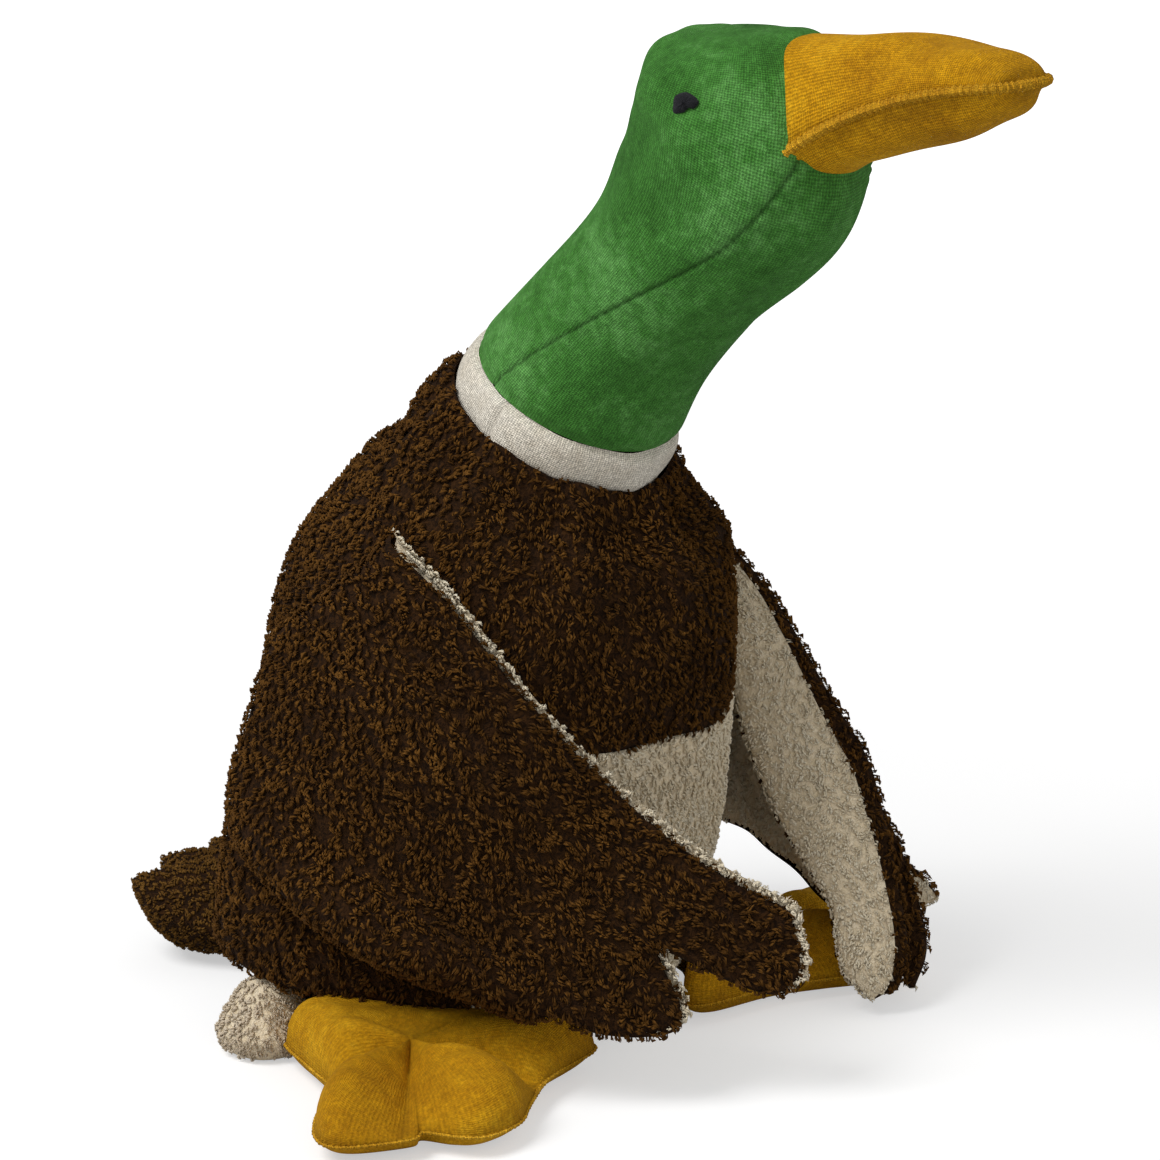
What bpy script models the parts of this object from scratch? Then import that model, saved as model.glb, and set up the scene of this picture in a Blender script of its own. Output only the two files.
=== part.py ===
"""Plush drake: a soft toy of sewn panels over loose fillings, sitting on its own seat.

Metres, +Z up. The toy faces -Y, its left side is +X, and the origin is the middle of the
flat seat. Each sewn panel is a thin shell, each stuffing a solid inside it, and a seam is the
fine gap between two panels. Soft shapes are surfaces: rings along a bent spine, pads swelled
from an outline, and wing sheets, all read from smooth curves through a few chosen shares.
"""

from math import cos, pi, radians, sin

import bmesh
import bpy
import numpy as np
from mathutils import Matrix, Vector

# Fabric and seams
FLEECE = 0.005
VELOUR = 0.0022
SEAM_GAP = 0.0005
FILLING_PLAY = 0.0008

# Body
BODY_HEIGHT = 0.250
BODY_DEPTH = 0.206
BODY_WIDTH = 0.214
SHOULDER_DIP = 0.014
SHOULDER_TURN = radians(142)
SHOULDER_SPAN = radians(35)

# Collar and the ball it turns on
COLLAR_RADIUS = 0.049
COLLAR_HEIGHT = 0.026
COLLAR_LEAN = radians(30)
COLLAR_RIM_LATITUDE = radians(24)
BALL_PLAY = 0.0008

# Head
HEAD_LENGTH = 0.200
HEAD_DEPTH = 0.100
HEAD_WIDTH = 0.096
EYE_LENGTH = 0.0115
EYE_HEIGHT = 0.0095
EYE_THICKNESS = 0.0012
EYE_LIFT = 0.0003

# Beak
BEAK_LENGTH = 0.138
BEAK_WIDTH = 0.060
BEAK_HEIGHT = 0.070
BEAK_SEAM_LIP = 0.0015

# Wings
WING_DROP = 0.215
WING_REACH = 0.185
WING_OUT = 0.120
WING_ROOT = 0.064
WING_LAYER = 0.0055
WING_BULGE = 0.030
WING_TUCK = 0.010
WING_LAP = 0.008
WING_SINK = 0.0010
WING_ROOT_TURN = radians(104)
WING_TOE_IN = radians(17)
WING_ROOT_RISE = radians(41)

# Legs and feet
LEG_LENGTH = 0.051
LEG_WIDTH = 0.036
LEG_HEIGHT = 0.027
LEG_TURN = radians(4)
LEG_SEAM = 0.009
FOOT_LENGTH = 0.150
FOOT_WIDTH = 0.172
FOOT_HEIGHT = 0.024
FOOT_EDGE_HEIGHT = 0.010
TOE_VALLEY_WIDTH = radians(13)
LIMB_CLEARANCE = 0.0006

# Tail
TAIL_LENGTH = 0.098
TAIL_WIDTH = 0.130
TAIL_HEIGHT = 0.034
TAIL_RISE = 0.022
TAIL_EDGE_HEIGHT = 0.020
TAIL_FLOOR_GAP = 0.003
TAIL_SEAM = 0.004

# The step that slopes are measured over, and grid counts
STEP = 0.002
AROUND = 20
BEAK_AROUND = 12
EYE_POINTS = 12
FOOT_POINTS = 24
LEG_POINTS = 14
TAIL_POINTS = 22
WING_COLUMNS = 17
WING_ROWS = 9

BODY_SHARES = [
    # forward, height, lean, half depth, half width, from the seat up to the shoulders
    (0.000, 0.000, 0.00, 0.300, 0.310),
    (0.000, 0.035, 0.00, 0.385, 0.390),
    (0.000, 0.110, 0.00, 0.450, 0.455),
    (0.000, 0.230, 0.00, 0.487, 0.487),
    (0.015, 0.370, 0.05, 0.500, 0.500),
    (0.040, 0.510, 0.15, 0.500, 0.495),
    (0.070, 0.650, 0.22, 0.500, 0.490),
    (0.105, 0.780, 0.38, 0.482, 0.472),
    (0.138, 0.900, 0.52, 0.447, 0.440),
    (0.182, 1.000, 0.70, 0.385, 0.372),
]
RIM_FORWARD_SHARE = 0.223
RIM_HEIGHT_SHARE = 1.088
BIB_FRONT_SHARE = 0.56
BIB_SIDE_SHARE = 0.68
SHOULDER_SHARE = 0.87
SHOULDER_SPAN_SHARE = 0.10

HEAD_SHARES = [
    # forward, height, lean, half depth, half width, from the collar up to the crown
    (0.135, 0.160, 1.27, 0.430, 0.440),
    (0.295, 0.310, 1.43, 0.420, 0.430),
    (0.400, 0.430, 1.36, 0.480, 0.450),
    (0.455, 0.540, 1.08, 0.550, 0.500),
    (0.470, 0.640, 0.67, 0.545, 0.500),
    (0.480, 0.730, 0.27, 0.455, 0.430),
    (0.475, 0.790, 0.00, 0.310, 0.300),
    (0.470, 0.815, 0.00, 0.120, 0.110),
]
EYE_TURN = radians(90)
EYE_PLACE_SHARE = 0.685
EYE_SHARES = [
    # towards the beak, up, round the half-moon from its blunt end
    (-0.50, 0.02),
    (-0.40, 0.34),
    (-0.10, 0.50),
    (0.22, 0.38),
    (0.50, -0.02),
    (0.36, -0.38),
    (0.06, -0.30),
    (-0.26, -0.42),
]
EYE_LEVEL_SHARES = [1.0, 0.5]

BEAK_SHARES = [
    # forward, seam height, half width, rise over the seam, drop under it
    (-0.12, 0.02, 0.500, 0.660, 0.300),
    (0.14, 0.14, 0.490, 0.560, 0.370),
    (0.40, 0.33, 0.460, 0.420, 0.380),
    (0.65, 0.45, 0.440, 0.320, 0.330),
    (0.86, 0.52, 0.400, 0.220, 0.260),
    (0.97, 0.54, 0.300, 0.130, 0.160),
    (1.00, 0.54, 0.120, 0.036, 0.040),
]
BEAK_SEAT_SHARE = 0.62
BEAK_DROP_SHARE = 0.22
BEAK_FILLING_SHARE = 0.93

RIGHT_HEM_SHARES = [
    (-0.38, 0.79, 0.190),
    (-0.20, 0.95, 0.165),
    (0.04, 0.99, 0.150),
    (0.27, 0.90, 0.145),
    (0.47, 0.74, 0.155),
    (0.66, 0.62, 0.155),
    (0.83, 0.46, 0.150),
    (0.94, 0.20, 0.240),
    (0.97, 0.06, 0.400),
]
LEFT_HEM_SHARES = [
    (-0.34, 0.82, 0.330),
    (-0.11, 1.02, 0.320),
    (0.20, 1.12, 0.300),
    (0.42, 1.12, 0.260),
    (0.62, 1.12, 0.190),
    (0.86, 1.06, 0.085),
    (0.83, 0.98, 0.220),
    (0.82, 0.88, 0.060),
    (0.75, 0.80, 0.110),
]
RIGHT_BULGE_SHARES = [(0.20,), (0.35,), (0.45,), (0.50,), (0.50,), (0.45,), (0.35,), (0.20,), (0.05,)]
LEFT_BULGE_SHARES = [(0.40,), (0.60,), (0.80,), (1.00,), (1.10,), (1.10,), (1.00,), (0.90,), (0.80,)]
RIGHT_FRONT_SHARES = [
    (0.00, 0.00, 0.00),
    (0.55, 0.26, 0.24),
    (0.70, 0.28, -0.06),
    (0.40, -0.18, -0.22),
    (0.16, -0.06, -0.35),
    (0.00, 0.00, 0.00),
]
LEFT_FRONT_SHARES = [
    (0.00, 0.00, 0.00),
    (-0.15, -0.18, 0.00),
    (-0.12, -0.14, 0.00),
    (-0.10, -0.12, 0.00),
    (-0.08, -0.10, 0.00),
    (0.00, 0.00, 0.00),
]
WING_FRONT_SPAN_SHARE = 0.45
TUCK_ACROSS_SHARE = 0.38
TUCK_WIDTH_SHARE = 0.15
TUCK_DOWN_SHARE = 0.80
TUCK_START_SHARE = 0.25
TUCK_SLANT_SHARE = 0.86
TUCK_DEPTH_SHARE = 0.09
LAP_ABOVE_SHARE = 0.17
NOTCH_DEPTH_SHARE = 0.17
NOTCH_ACROSS_SHARE = 0.81
NOTCH_WIDTH_SHARE = 0.04
WING_ROOT_SHARE = 0.757

FOOT_SHARES = [
    # forward, out, from the heel along the body to the inner toe and round the others
    (0.020, 0.385),
    (0.167, 0.372),
    (0.333, 0.326),
    (0.467, 0.256),
    (0.573, 0.163),
    (0.660, 0.045),
    (0.733, 0.070),
    (0.787, 0.297),
    (0.880, 0.465),
    (0.960, 0.587),
    (0.967, 0.703),
    (0.913, 0.756),
    (0.807, 0.790),
    (0.820, 0.849),
    (0.713, 0.994),
    (0.607, 0.983),
    (0.473, 0.849),
    (0.400, 0.721),
    (0.200, 0.628),
    (0.010, 0.541),
    (-0.010, 0.471),
]
FOOT_CENTRE_SHARES = (0.48, 0.52)
FOOT_BACK_SHARE = 0.10
FOOT_IN_SHARE = 0.31
TOE_VALLEY_TURNS = [radians(-28), radians(50)]
TOE_VALLEY_SHARE = 0.45
FOOT_PUFF = 3.0

LEG_SHARES = [
    # along the leg, across it
    (0.00, 0.00),
    (0.10, 0.18),
    (0.35, 0.42),
    (0.70, 0.50),
    (0.95, 0.34),
    (1.02, 0.00),
    (0.95, -0.34),
    (0.70, -0.50),
    (0.35, -0.42),
    (0.10, -0.18),
]
LEG_CENTRE_SHARE = 0.62
LEG_BACK_SHARE = 0.3075
LEG_SEAT_SHARE = 0.135
LEG_HINGE_SHARE = 0.20

TAIL_SHARES = [
    # back from the root, across
    (0.00, -0.26),
    (0.00, 0.00),
    (0.00, 0.26),
    (0.30, 0.38),
    (0.62, 0.49),
    (0.86, 0.40),
    (0.80, 0.27),
    (1.00, 0.14),
    (0.92, 0.00),
    (1.00, -0.14),
    (0.80, -0.27),
    (0.86, -0.40),
    (0.62, -0.49),
    (0.30, -0.38),
]
TAIL_SEAT_SHARE = 0.185
TAIL_CUP_SHARE = 0.5
TAIL_HINGE_SHARE = 0.25
TAIL_PUFF = 5.0

PAD_LEVEL_SHARES = [1.0, 0.90, 0.66, 0.30]
PAD_PUFF = 2.5
SOLE_PUFF = 14.0


# Smooth curves and surfaces
def rows_at(table, share):
    """Rows of a table read at shares 0..1 of its length, on a Catmull-Rom curve through them."""
    table = np.asarray(table, float)
    place = np.clip(np.asarray(share, float), 0, 1) * (len(table) - 1)
    start = np.minimum(place.astype(int), len(table) - 2)
    part = (place - start)[..., None]
    padded = np.vstack([2 * table[0] - table[1], table, 2 * table[-1] - table[-2]])
    before, here, after, beyond = (padded[start + k] for k in range(4))
    slope_in = (after - before) / 2
    slope_out = (beyond - here) / 2
    rise = after - here
    cubic = slope_in + slope_out - 2 * rise
    square = 3 * rise - 2 * slope_in - slope_out
    return here + part * (slope_in + part * (square + part * cubic))


def closed_outline(table, scale, count):
    """Points along a smooth closed curve through a table of places."""
    corners = np.array(table) * scale
    wrapped = np.vstack([corners[-1:], corners, corners[:2]])
    places = (np.arange(count) / count * len(corners) + 1) / (len(wrapped) - 1)
    return rows_at(wrapped, places)


def spine_surface(rows):
    """Rings on a bent spine, from rows of forward, height, lean, half depth and half width.

    A point is its ring's centre, plus the half depth times the turn's cosine along the leaning
    forward direction, plus the half width times its sine to the left.
    """

    def point(turn, share):
        forward, height, lean, depth, width = np.moveaxis(rows_at(rows, share), -1, 0)
        ahead = depth * np.cos(turn)
        side = width * np.sin(turn)
        return np.stack([side, -forward - ahead * np.cos(lean), height - ahead * np.sin(lean)], -1)

    return point


def bell(value, middle, width):
    """One at the middle, fading out over the width on both sides."""
    return np.exp(-(((value - middle) / width) ** 2))


def lengths_per_step(surface, turn, share):
    """How long a unit of turn and a unit of share are on a surface at a place."""
    here = surface(turn, share)
    turned = np.linalg.norm(surface(turn + STEP, share) - here)
    raised = np.linalg.norm(surface(turn, share + STEP) - here)
    return turned / STEP, raised / STEP


def inset(surface, turn, share, depth):
    """The surface's points moved inwards along its normal by a depth."""
    across = surface(turn + STEP, share) - surface(turn - STEP, share)
    low = np.clip(share - STEP, 0, 1)
    high = np.clip(share + STEP, 0, 1)
    normal = np.cross(across, surface(turn, high) - surface(turn, low))
    return surface(turn, share) - depth * normal / np.linalg.norm(normal, axis=-1, keepdims=True)


def shrink_ring(ring, centre, depth):
    """A flat ring drawn in towards its centre by a depth."""
    spoke = ring - centre
    return ring - depth * spoke / np.linalg.norm(spoke, axis=-1, keepdims=True)


# Meshes
def new_object(name, points, faces, finish):
    """One mesh object with its faces pointing out."""
    mesh = bpy.data.meshes.new(name)
    mesh.from_pydata([tuple(p) for p in points], [], faces)
    work = bmesh.new()
    work.from_mesh(mesh)
    bmesh.ops.recalc_face_normals(work, faces=work.faces)
    work.to_mesh(mesh)
    work.free()
    mesh.shade_smooth()
    mesh.materials.append(finish)
    piece = bpy.data.objects.new(name, mesh)
    bpy.context.scene.collection.objects.link(piece)
    return piece


def split(a, b, c, d):
    """A four-sided face as two triangles, always on the same diagonal."""
    return [(a, b, c), (a, c, d)]


def ring_faces(rings, around, start=0):
    """Triangles between neighbouring closed rings."""
    faces = []
    for r in range(rings - 1):
        low = start + r * around
        high = low + around
        for k in range(around):
            after = (k + 1) % around
            faces += split(low + k, low + after, high + after, high + k)
    return faces


def fan(start, around, centre):
    """Triangles from a closed ring to its centre point."""
    return [(start + k, start + (k + 1) % around, centre) for k in range(around)]


def solid_of_rings(name, grid, finish):
    """A closed solid of stacked rings with a flat cap at each end."""
    rings, around = grid.shape[:2]
    last = rings * around
    faces = ring_faces(rings, around) + fan(0, around, last) + fan(last - around, around, last + 1)
    points = np.vstack([grid.reshape(-1, 3), grid[0].mean(0), grid[-1].mean(0)])
    return new_object(name, points, faces, finish)


def sleeve(name, outer, inner, finish):
    """A closed tube wall between an outer and an inner stack of rings."""
    rings, around = outer.shape[:2]
    points = np.concatenate([outer, inner[::-1]]).reshape(-1, 3)
    faces = ring_faces(2 * rings, around)
    last = (2 * rings - 1) * around
    for k in range(around):
        after = (k + 1) % around
        faces += split(last + k, last + after, after, k)
    return new_object(name, points, faces, finish)


def bowl_of_cloth(name, outer, inner, finish):
    """A closed sheet shaped as a bowl: two stacks of rings that meet along the outline."""
    rings, around = outer.shape[:2]
    half = rings * around
    faces = ring_faces(rings, around) + ring_faces(rings, around, half)
    faces += fan(half - around, around, 2 * half) + fan(2 * half - around, around, 2 * half + 1)
    for k in range(around):
        after = (k + 1) % around
        faces += split(k, after, half + after, half + k)
    walls = np.concatenate([outer, inner]).reshape(-1, 3)
    return new_object(name, np.vstack([walls, outer[-1].mean(0), inner[-1].mean(0)]), faces, finish)


def panel(name, outer, inner, finish):
    """A closed sheet of fabric between two patches of the same grid."""
    rows, columns = outer.shape[:2]
    size = rows * columns
    faces = []
    for r in range(rows - 1):
        for c in range(columns - 1):
            corner = r * columns + c
            above = corner + columns
            for face in split(corner, corner + 1, above + 1, above):
                faces.append(face)
                faces.append(tuple(size + k for k in reversed(face)))
    edge = list(range(columns))
    edge += [r * columns + columns - 1 for r in range(1, rows)]
    edge += [(rows - 1) * columns + c for c in range(columns - 2, -1, -1)]
    edge += [r * columns for r in range(rows - 2, 0, -1)]
    for a, b in zip(edge, edge[1:] + edge[:1]):
        faces += split(b, a, size + a, size + b)
    return new_object(name, np.concatenate([outer, inner]).reshape(-1, 3), faces, finish)


def make_finish(name, colour, roughness):
    """A plain cloth finish from its colour and roughness."""
    finish = bpy.data.materials.new(name)
    finish.use_nodes = True
    shader = finish.node_tree.nodes["Principled BSDF"]
    shader.inputs["Base Color"].default_value = (*colour, 1)
    shader.inputs["Roughness"].default_value = roughness
    shader.inputs["Metallic"].default_value = 0
    return finish


def cut_by(pieces, cutter):
    """Cuts pieces by a larger one's clearance shape, which isn't a piece itself."""
    cutter.hide_render = True
    cutter.display_type = "WIRE"
    for piece in pieces:
        cut = piece.modifiers.new("seat on the larger piece", "BOOLEAN")
        cut.operation = "DIFFERENCE"
        cut.solver = "EXACT"
        cut.object = cutter


def hang_on(name, place, pieces, parent=None):
    """Gives pieces their origin on a joint's axis, under an empty that turns them all."""
    pivot = bpy.data.objects.new(name, None)
    bpy.context.scene.collection.objects.link(pivot)
    pivot.parent = parent
    pivot.location = place if parent is None else place - np.array(parent.location)
    for piece in pieces:
        piece.data.transform(Matrix.Translation(-Vector(place)))
        piece.parent = pivot
    return pivot


def clear_scene():
    """Removes what the file starts with."""
    for old in list(bpy.data.objects):
        bpy.data.objects.remove(old, do_unlink=True)


# The neck seat: a ball in a bowl whose centre both the neck and the body measure from
COLLAR_AXIS = np.array([0, -sin(COLLAR_LEAN), cos(COLLAR_LEAN)])
COLLAR_FORWARD = np.array([0, -cos(COLLAR_LEAN), -sin(COLLAR_LEAN)])
RIM_CENTRE = np.array([0, -BODY_DEPTH * RIM_FORWARD_SHARE, BODY_HEIGHT * RIM_HEIGHT_SHARE])
BOWL_RADIUS = COLLAR_RADIUS + BALL_PLAY
PIVOT = RIM_CENTRE + COLLAR_AXIS * BOWL_RADIUS * sin(COLLAR_RIM_LATITUDE)
COLLAR_TOP = RIM_CENTRE + COLLAR_AXIS * COLLAR_HEIGHT
BALL_END = radians(80)
COLLAR_SHOW = radians(0.6)


def collar_ring(centre, radius):
    """A ring square to the collar's axis."""
    turn = np.arange(AROUND) * (2 * pi / AROUND)
    return centre + radius * (np.outer(np.cos(turn), COLLAR_FORWARD) + np.outer(np.sin(turn), [1, 0, 0]))


def ball_rings(radius, latitudes):
    """Rings of a ball round the neck's pivot, at latitudes along the collar's axis."""
    return np.array([collar_ring(PIVOT + radius * sin(b) * COLLAR_AXIS, radius * cos(b)) for b in latitudes])


def body_rows():
    """The body's rows in metres, ending at the rim that the collar sits in."""
    sizes = np.array([BODY_DEPTH, BODY_HEIGHT, COLLAR_LEAN, BODY_DEPTH, BODY_WIDTH])
    rim = BOWL_RADIUS * cos(COLLAR_RIM_LATITUDE) + FLEECE + FILLING_PLAY
    last = [-RIM_CENTRE[1], RIM_CENTRE[2], COLLAR_LEAN, rim, rim]
    return np.vstack([np.array(BODY_SHARES) * sizes, last])


def body_surface():
    """The body's surface: its rings, hollowed behind both shoulders."""
    rings = spine_surface(body_rows())

    def point(turn, share):
        around = np.abs(np.angle(np.exp(1j * turn)))
        dip = bell(around, SHOULDER_TURN, SHOULDER_SPAN) * bell(share, SHOULDER_SHARE, SHOULDER_SPAN_SHARE)
        dip = dip * np.clip((1 - share) / (1 - SHOULDER_SHARE), 0, 1)
        spoke = rings(turn, share) - rings(turn + pi, share)
        spoke = spoke / np.linalg.norm(spoke, axis=-1, keepdims=True)
        return rings(turn, share) - SHOULDER_DIP * dip[..., None] * spoke

    return point


def head_rows():
    """The head and neck's rows in metres, starting round on top of the collar."""
    sizes = np.array([HEAD_LENGTH, HEAD_LENGTH, COLLAR_LEAN, HEAD_DEPTH, HEAD_WIDTH])
    first = COLLAR_TOP + COLLAR_AXIS * SEAM_GAP
    rows = np.array(HEAD_SHARES) * sizes
    rows[:, 0] -= first[1]
    rows[:, 1] += first[2]
    return np.vstack([[-first[1], first[2], COLLAR_LEAN, COLLAR_RADIUS, COLLAR_RADIUS], rows])


def body_skin(turn, depth):
    """Eleven rows of the body at a depth under its surface, the sixth along the bib's hem."""
    surface = body_surface()
    hem = BIB_SIDE_SHARE - (BIB_SIDE_SHARE - BIB_FRONT_SHARE) * np.clip(np.cos(turn), 0, 1) ** 2
    part = np.linspace(0, 1, 6)
    share = np.vstack([np.outer(part, hem), hem + np.outer(part[1:], 1 - hem)])
    turns = np.broadcast_to(turn, share.shape)
    grid = inset(surface, turns, share, depth)
    outer = surface(turns, share)
    grid[-1] = shrink_ring(outer[-1], RIM_CENTRE, depth)
    grid[0] = shrink_ring(outer[0], np.zeros(3), depth) + [0, 0, depth]
    return grid


def head_skin(turn, depth):
    """Eleven rows of the head and neck at a depth under their surface."""
    surface = spine_surface(head_rows())
    turns, share = np.meshgrid(turn, np.linspace(0, 1, 11))
    grid = inset(surface, turns, share, depth)
    first = COLLAR_TOP + COLLAR_AXIS * SEAM_GAP
    grid[0] = shrink_ring(surface(turns, share)[0], first, depth)
    return grid


def half_turn(first, gap):
    """Turns across half of a ring, drawn in by a gap at both seams."""
    return np.linspace(first + gap, first + pi - gap, AROUND // 2 + 1)


def full_turn(around=AROUND):
    """Turns once round a ring."""
    return np.arange(around) * (2 * pi / around)


def build_body(finishes):
    """Back, chest, belly and seat panels round a filling whose top is the neck's bowl."""
    gap = SEAM_GAP / BODY_WIDTH
    back = half_turn(pi / 2, gap)
    panel("back_panel", body_skin(back, 0), body_skin(back, FLEECE), finishes["brown_fleece"])

    front = half_turn(-pi / 2, gap)
    outer = body_skin(front, 0)
    inner = body_skin(front, FLEECE)
    for grid in (outer, inner):
        grid[5] += SEAM_GAP * np.array([0, 0, 1])
    panel("chest_panel", outer[5:].copy(), inner[5:].copy(), finishes["brown_fleece"])
    for grid in (outer, inner):
        grid[5] -= 2 * SEAM_GAP * np.array([0, 0, 1])
    panel("belly_panel", outer[:6], inner[:6], finishes["cream_fleece"])

    seat = body_skin(full_turn(), 0)[0]
    bottom = shrink_ring(seat, np.zeros(3), SEAM_GAP)
    top = shrink_ring(seat, np.zeros(3), SEAM_GAP + FLEECE) + [0, 0, FLEECE]
    solid_of_rings("seat_panel", np.array([bottom, top]), finishes["cream_fleece"])

    side = body_skin(full_turn(), FLEECE + FILLING_PLAY)
    bowl = ball_rings(BOWL_RADIUS, np.linspace(-COLLAR_RIM_LATITUDE, -BALL_END, 5)[1:])
    solid_of_rings("torso_filling", np.concatenate([side, bowl]), finishes["filling"])


def build_neck(finishes):
    """The collar's band round a ball-ended filling."""
    latitudes = np.linspace(-COLLAR_RIM_LATITUDE + COLLAR_SHOW, 0, 3)
    outer = np.concatenate([ball_rings(COLLAR_RADIUS, latitudes), [collar_ring(COLLAR_TOP, COLLAR_RADIUS)]])
    inside = COLLAR_RADIUS - VELOUR
    inner = np.concatenate([ball_rings(inside, latitudes), [collar_ring(COLLAR_TOP, inside)]])
    band = sleeve("collar_band", outer, inner, finishes["cream_velour"])
    radius = inside - FILLING_PLAY
    lower = np.linspace(-BALL_END, -COLLAR_RIM_LATITUDE, 4)[:-1]
    ball = ball_rings(radius, np.concatenate([lower, latitudes]))
    rings = np.concatenate([ball, [collar_ring(COLLAR_TOP, radius)]])
    return [band, solid_of_rings("neck_filling", rings, finishes["filling"])]


def build_head(finishes):
    """A crown panel behind the side seams, a throat panel before them, the filling and eyes."""
    gap = SEAM_GAP / HEAD_WIDTH
    core = head_skin(full_turn(), VELOUR + FILLING_PLAY)
    pieces = [solid_of_rings("head_filling", core, finishes["filling"])]
    for name, first in (("crown_panel", pi / 2), ("throat_panel", -pi / 2)):
        turn = half_turn(first, gap)
        cloth = panel(name, head_skin(turn, 0), head_skin(turn, VELOUR), finishes["green_velour"])
        pieces.append(cloth)

    surface = spine_surface(head_rows())
    outline = closed_outline(EYE_SHARES, np.array([EYE_LENGTH, EYE_HEIGHT]), EYE_POINTS)
    level = np.array(EYE_LEVEL_SHARES)[:, None]
    for side, sign in (("right", -1), ("left", 1)):
        place = np.array([sign * EYE_TURN, EYE_PLACE_SHARE])
        turn_length, share_length = lengths_per_step(surface, *place)
        turn = place[0] - sign * level * outline[:, 0] / turn_length
        share = place[1] + level * outline[:, 1] / share_length
        over = inset(surface, turn, share, -EYE_THICKNESS - EYE_LIFT)
        under = inset(surface, turn, share, -EYE_LIFT)
        pieces.append(bowl_of_cloth(f"eye_{side}", over, under, finishes["black_felt"]))
    return pieces


def beak_surface():
    """Upright rings along the beak, whose turn runs from the left seam over the top and below.

    A point is its ring's seam height plus the rise or the drop times the turn's sine, and the
    half width times its cosine to the left, with a thin lip where the two halves are sewn.
    """
    seat = rows_at(head_rows(), BEAK_SEAT_SHARE)
    origin = np.array([seat[0], seat[1] - BEAK_HEIGHT * BEAK_DROP_SHARE, 0, 0, 0])
    rows = np.array(BEAK_SHARES) * [BEAK_LENGTH, BEAK_HEIGHT, BEAK_WIDTH, BEAK_HEIGHT, BEAK_HEIGHT] + origin

    def point(turn, share):
        forward, seam, half_width, rise, drop = np.moveaxis(rows_at(rows, share), -1, 0)
        lift = np.where(np.sin(turn) > 0, rise, drop) * np.sin(turn)
        lip = BEAK_SEAM_LIP * np.cos(turn) ** 9
        return np.stack([half_width * np.cos(turn) + lip, -forward, seam + lift], -1)

    return point


def build_beak(finishes):
    """Upper and lower beak panels with their filling, cut to sit on the head."""
    surface = beak_surface()
    shares = np.linspace(0, 1, 8)
    pieces = []
    for name, first, sign in (("beak_upper", 0, 1), ("beak_lower", pi, -1)):
        turn, share = np.meshgrid(np.linspace(first, first + pi, BEAK_AROUND // 2 + 1), shares)
        shift = np.array([0, 0, sign * SEAM_GAP / 2])
        outer = surface(turn, share) + shift
        inner = inset(surface, turn, share, VELOUR) + shift
        pieces.append(panel(name, outer, inner, finishes["mustard_velour"]))
    turn, share = np.meshgrid(full_turn(BEAK_AROUND), shares * BEAK_FILLING_SHARE)
    core = inset(surface, turn, share, VELOUR + 2 * FILLING_PLAY)
    pieces.append(solid_of_rings("beak_filling", core, finishes["filling"]))
    cutter = solid_of_rings("head_clearance", head_skin(full_turn(), -SEAM_GAP), finishes["filling"])
    cut_by(pieces, cutter)
    return pieces


# Pads swelled from an outline
def stuffed_pad(names, outline, centre, edge_height, swell, hollow, cloth, filling):
    """An upper and an under panel sewn along an outline, with the filling between them.

    At a level 1..0 from the outline to the centre, the panels stand off the edge height by the
    swell above and the hollow below.
    """
    half_gap = SEAM_GAP / 2

    def rings(depth, height_at, sign):
        edge = shrink_ring(outline, centre, depth)
        stack = []
        for level in PAD_LEVEL_SHARES:
            flat = centre + (edge - centre) * level
            stand = np.maximum(height_at(flat, level) - depth, half_gap)
            stack.append(np.column_stack([flat, edge_height(flat) + sign * stand]))
        return np.array(stack)

    upper_name, under_name, filling_name = names
    deep = VELOUR + FILLING_PLAY
    upper = bowl_of_cloth(upper_name, rings(0, swell, 1), rings(VELOUR, swell, 1), cloth)
    under = bowl_of_cloth(under_name, rings(0, hollow, -1), rings(VELOUR, hollow, -1), cloth)
    core = np.concatenate([rings(deep, hollow, -1)[::-1], rings(deep, swell, 1)])
    return [upper, under, solid_of_rings(filling_name, core, filling)]


def seat_reach(share):
    """The body's half depth and half width at a share of its rows."""
    row = rows_at(body_rows(), share)
    return row[3], row[4]


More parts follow.
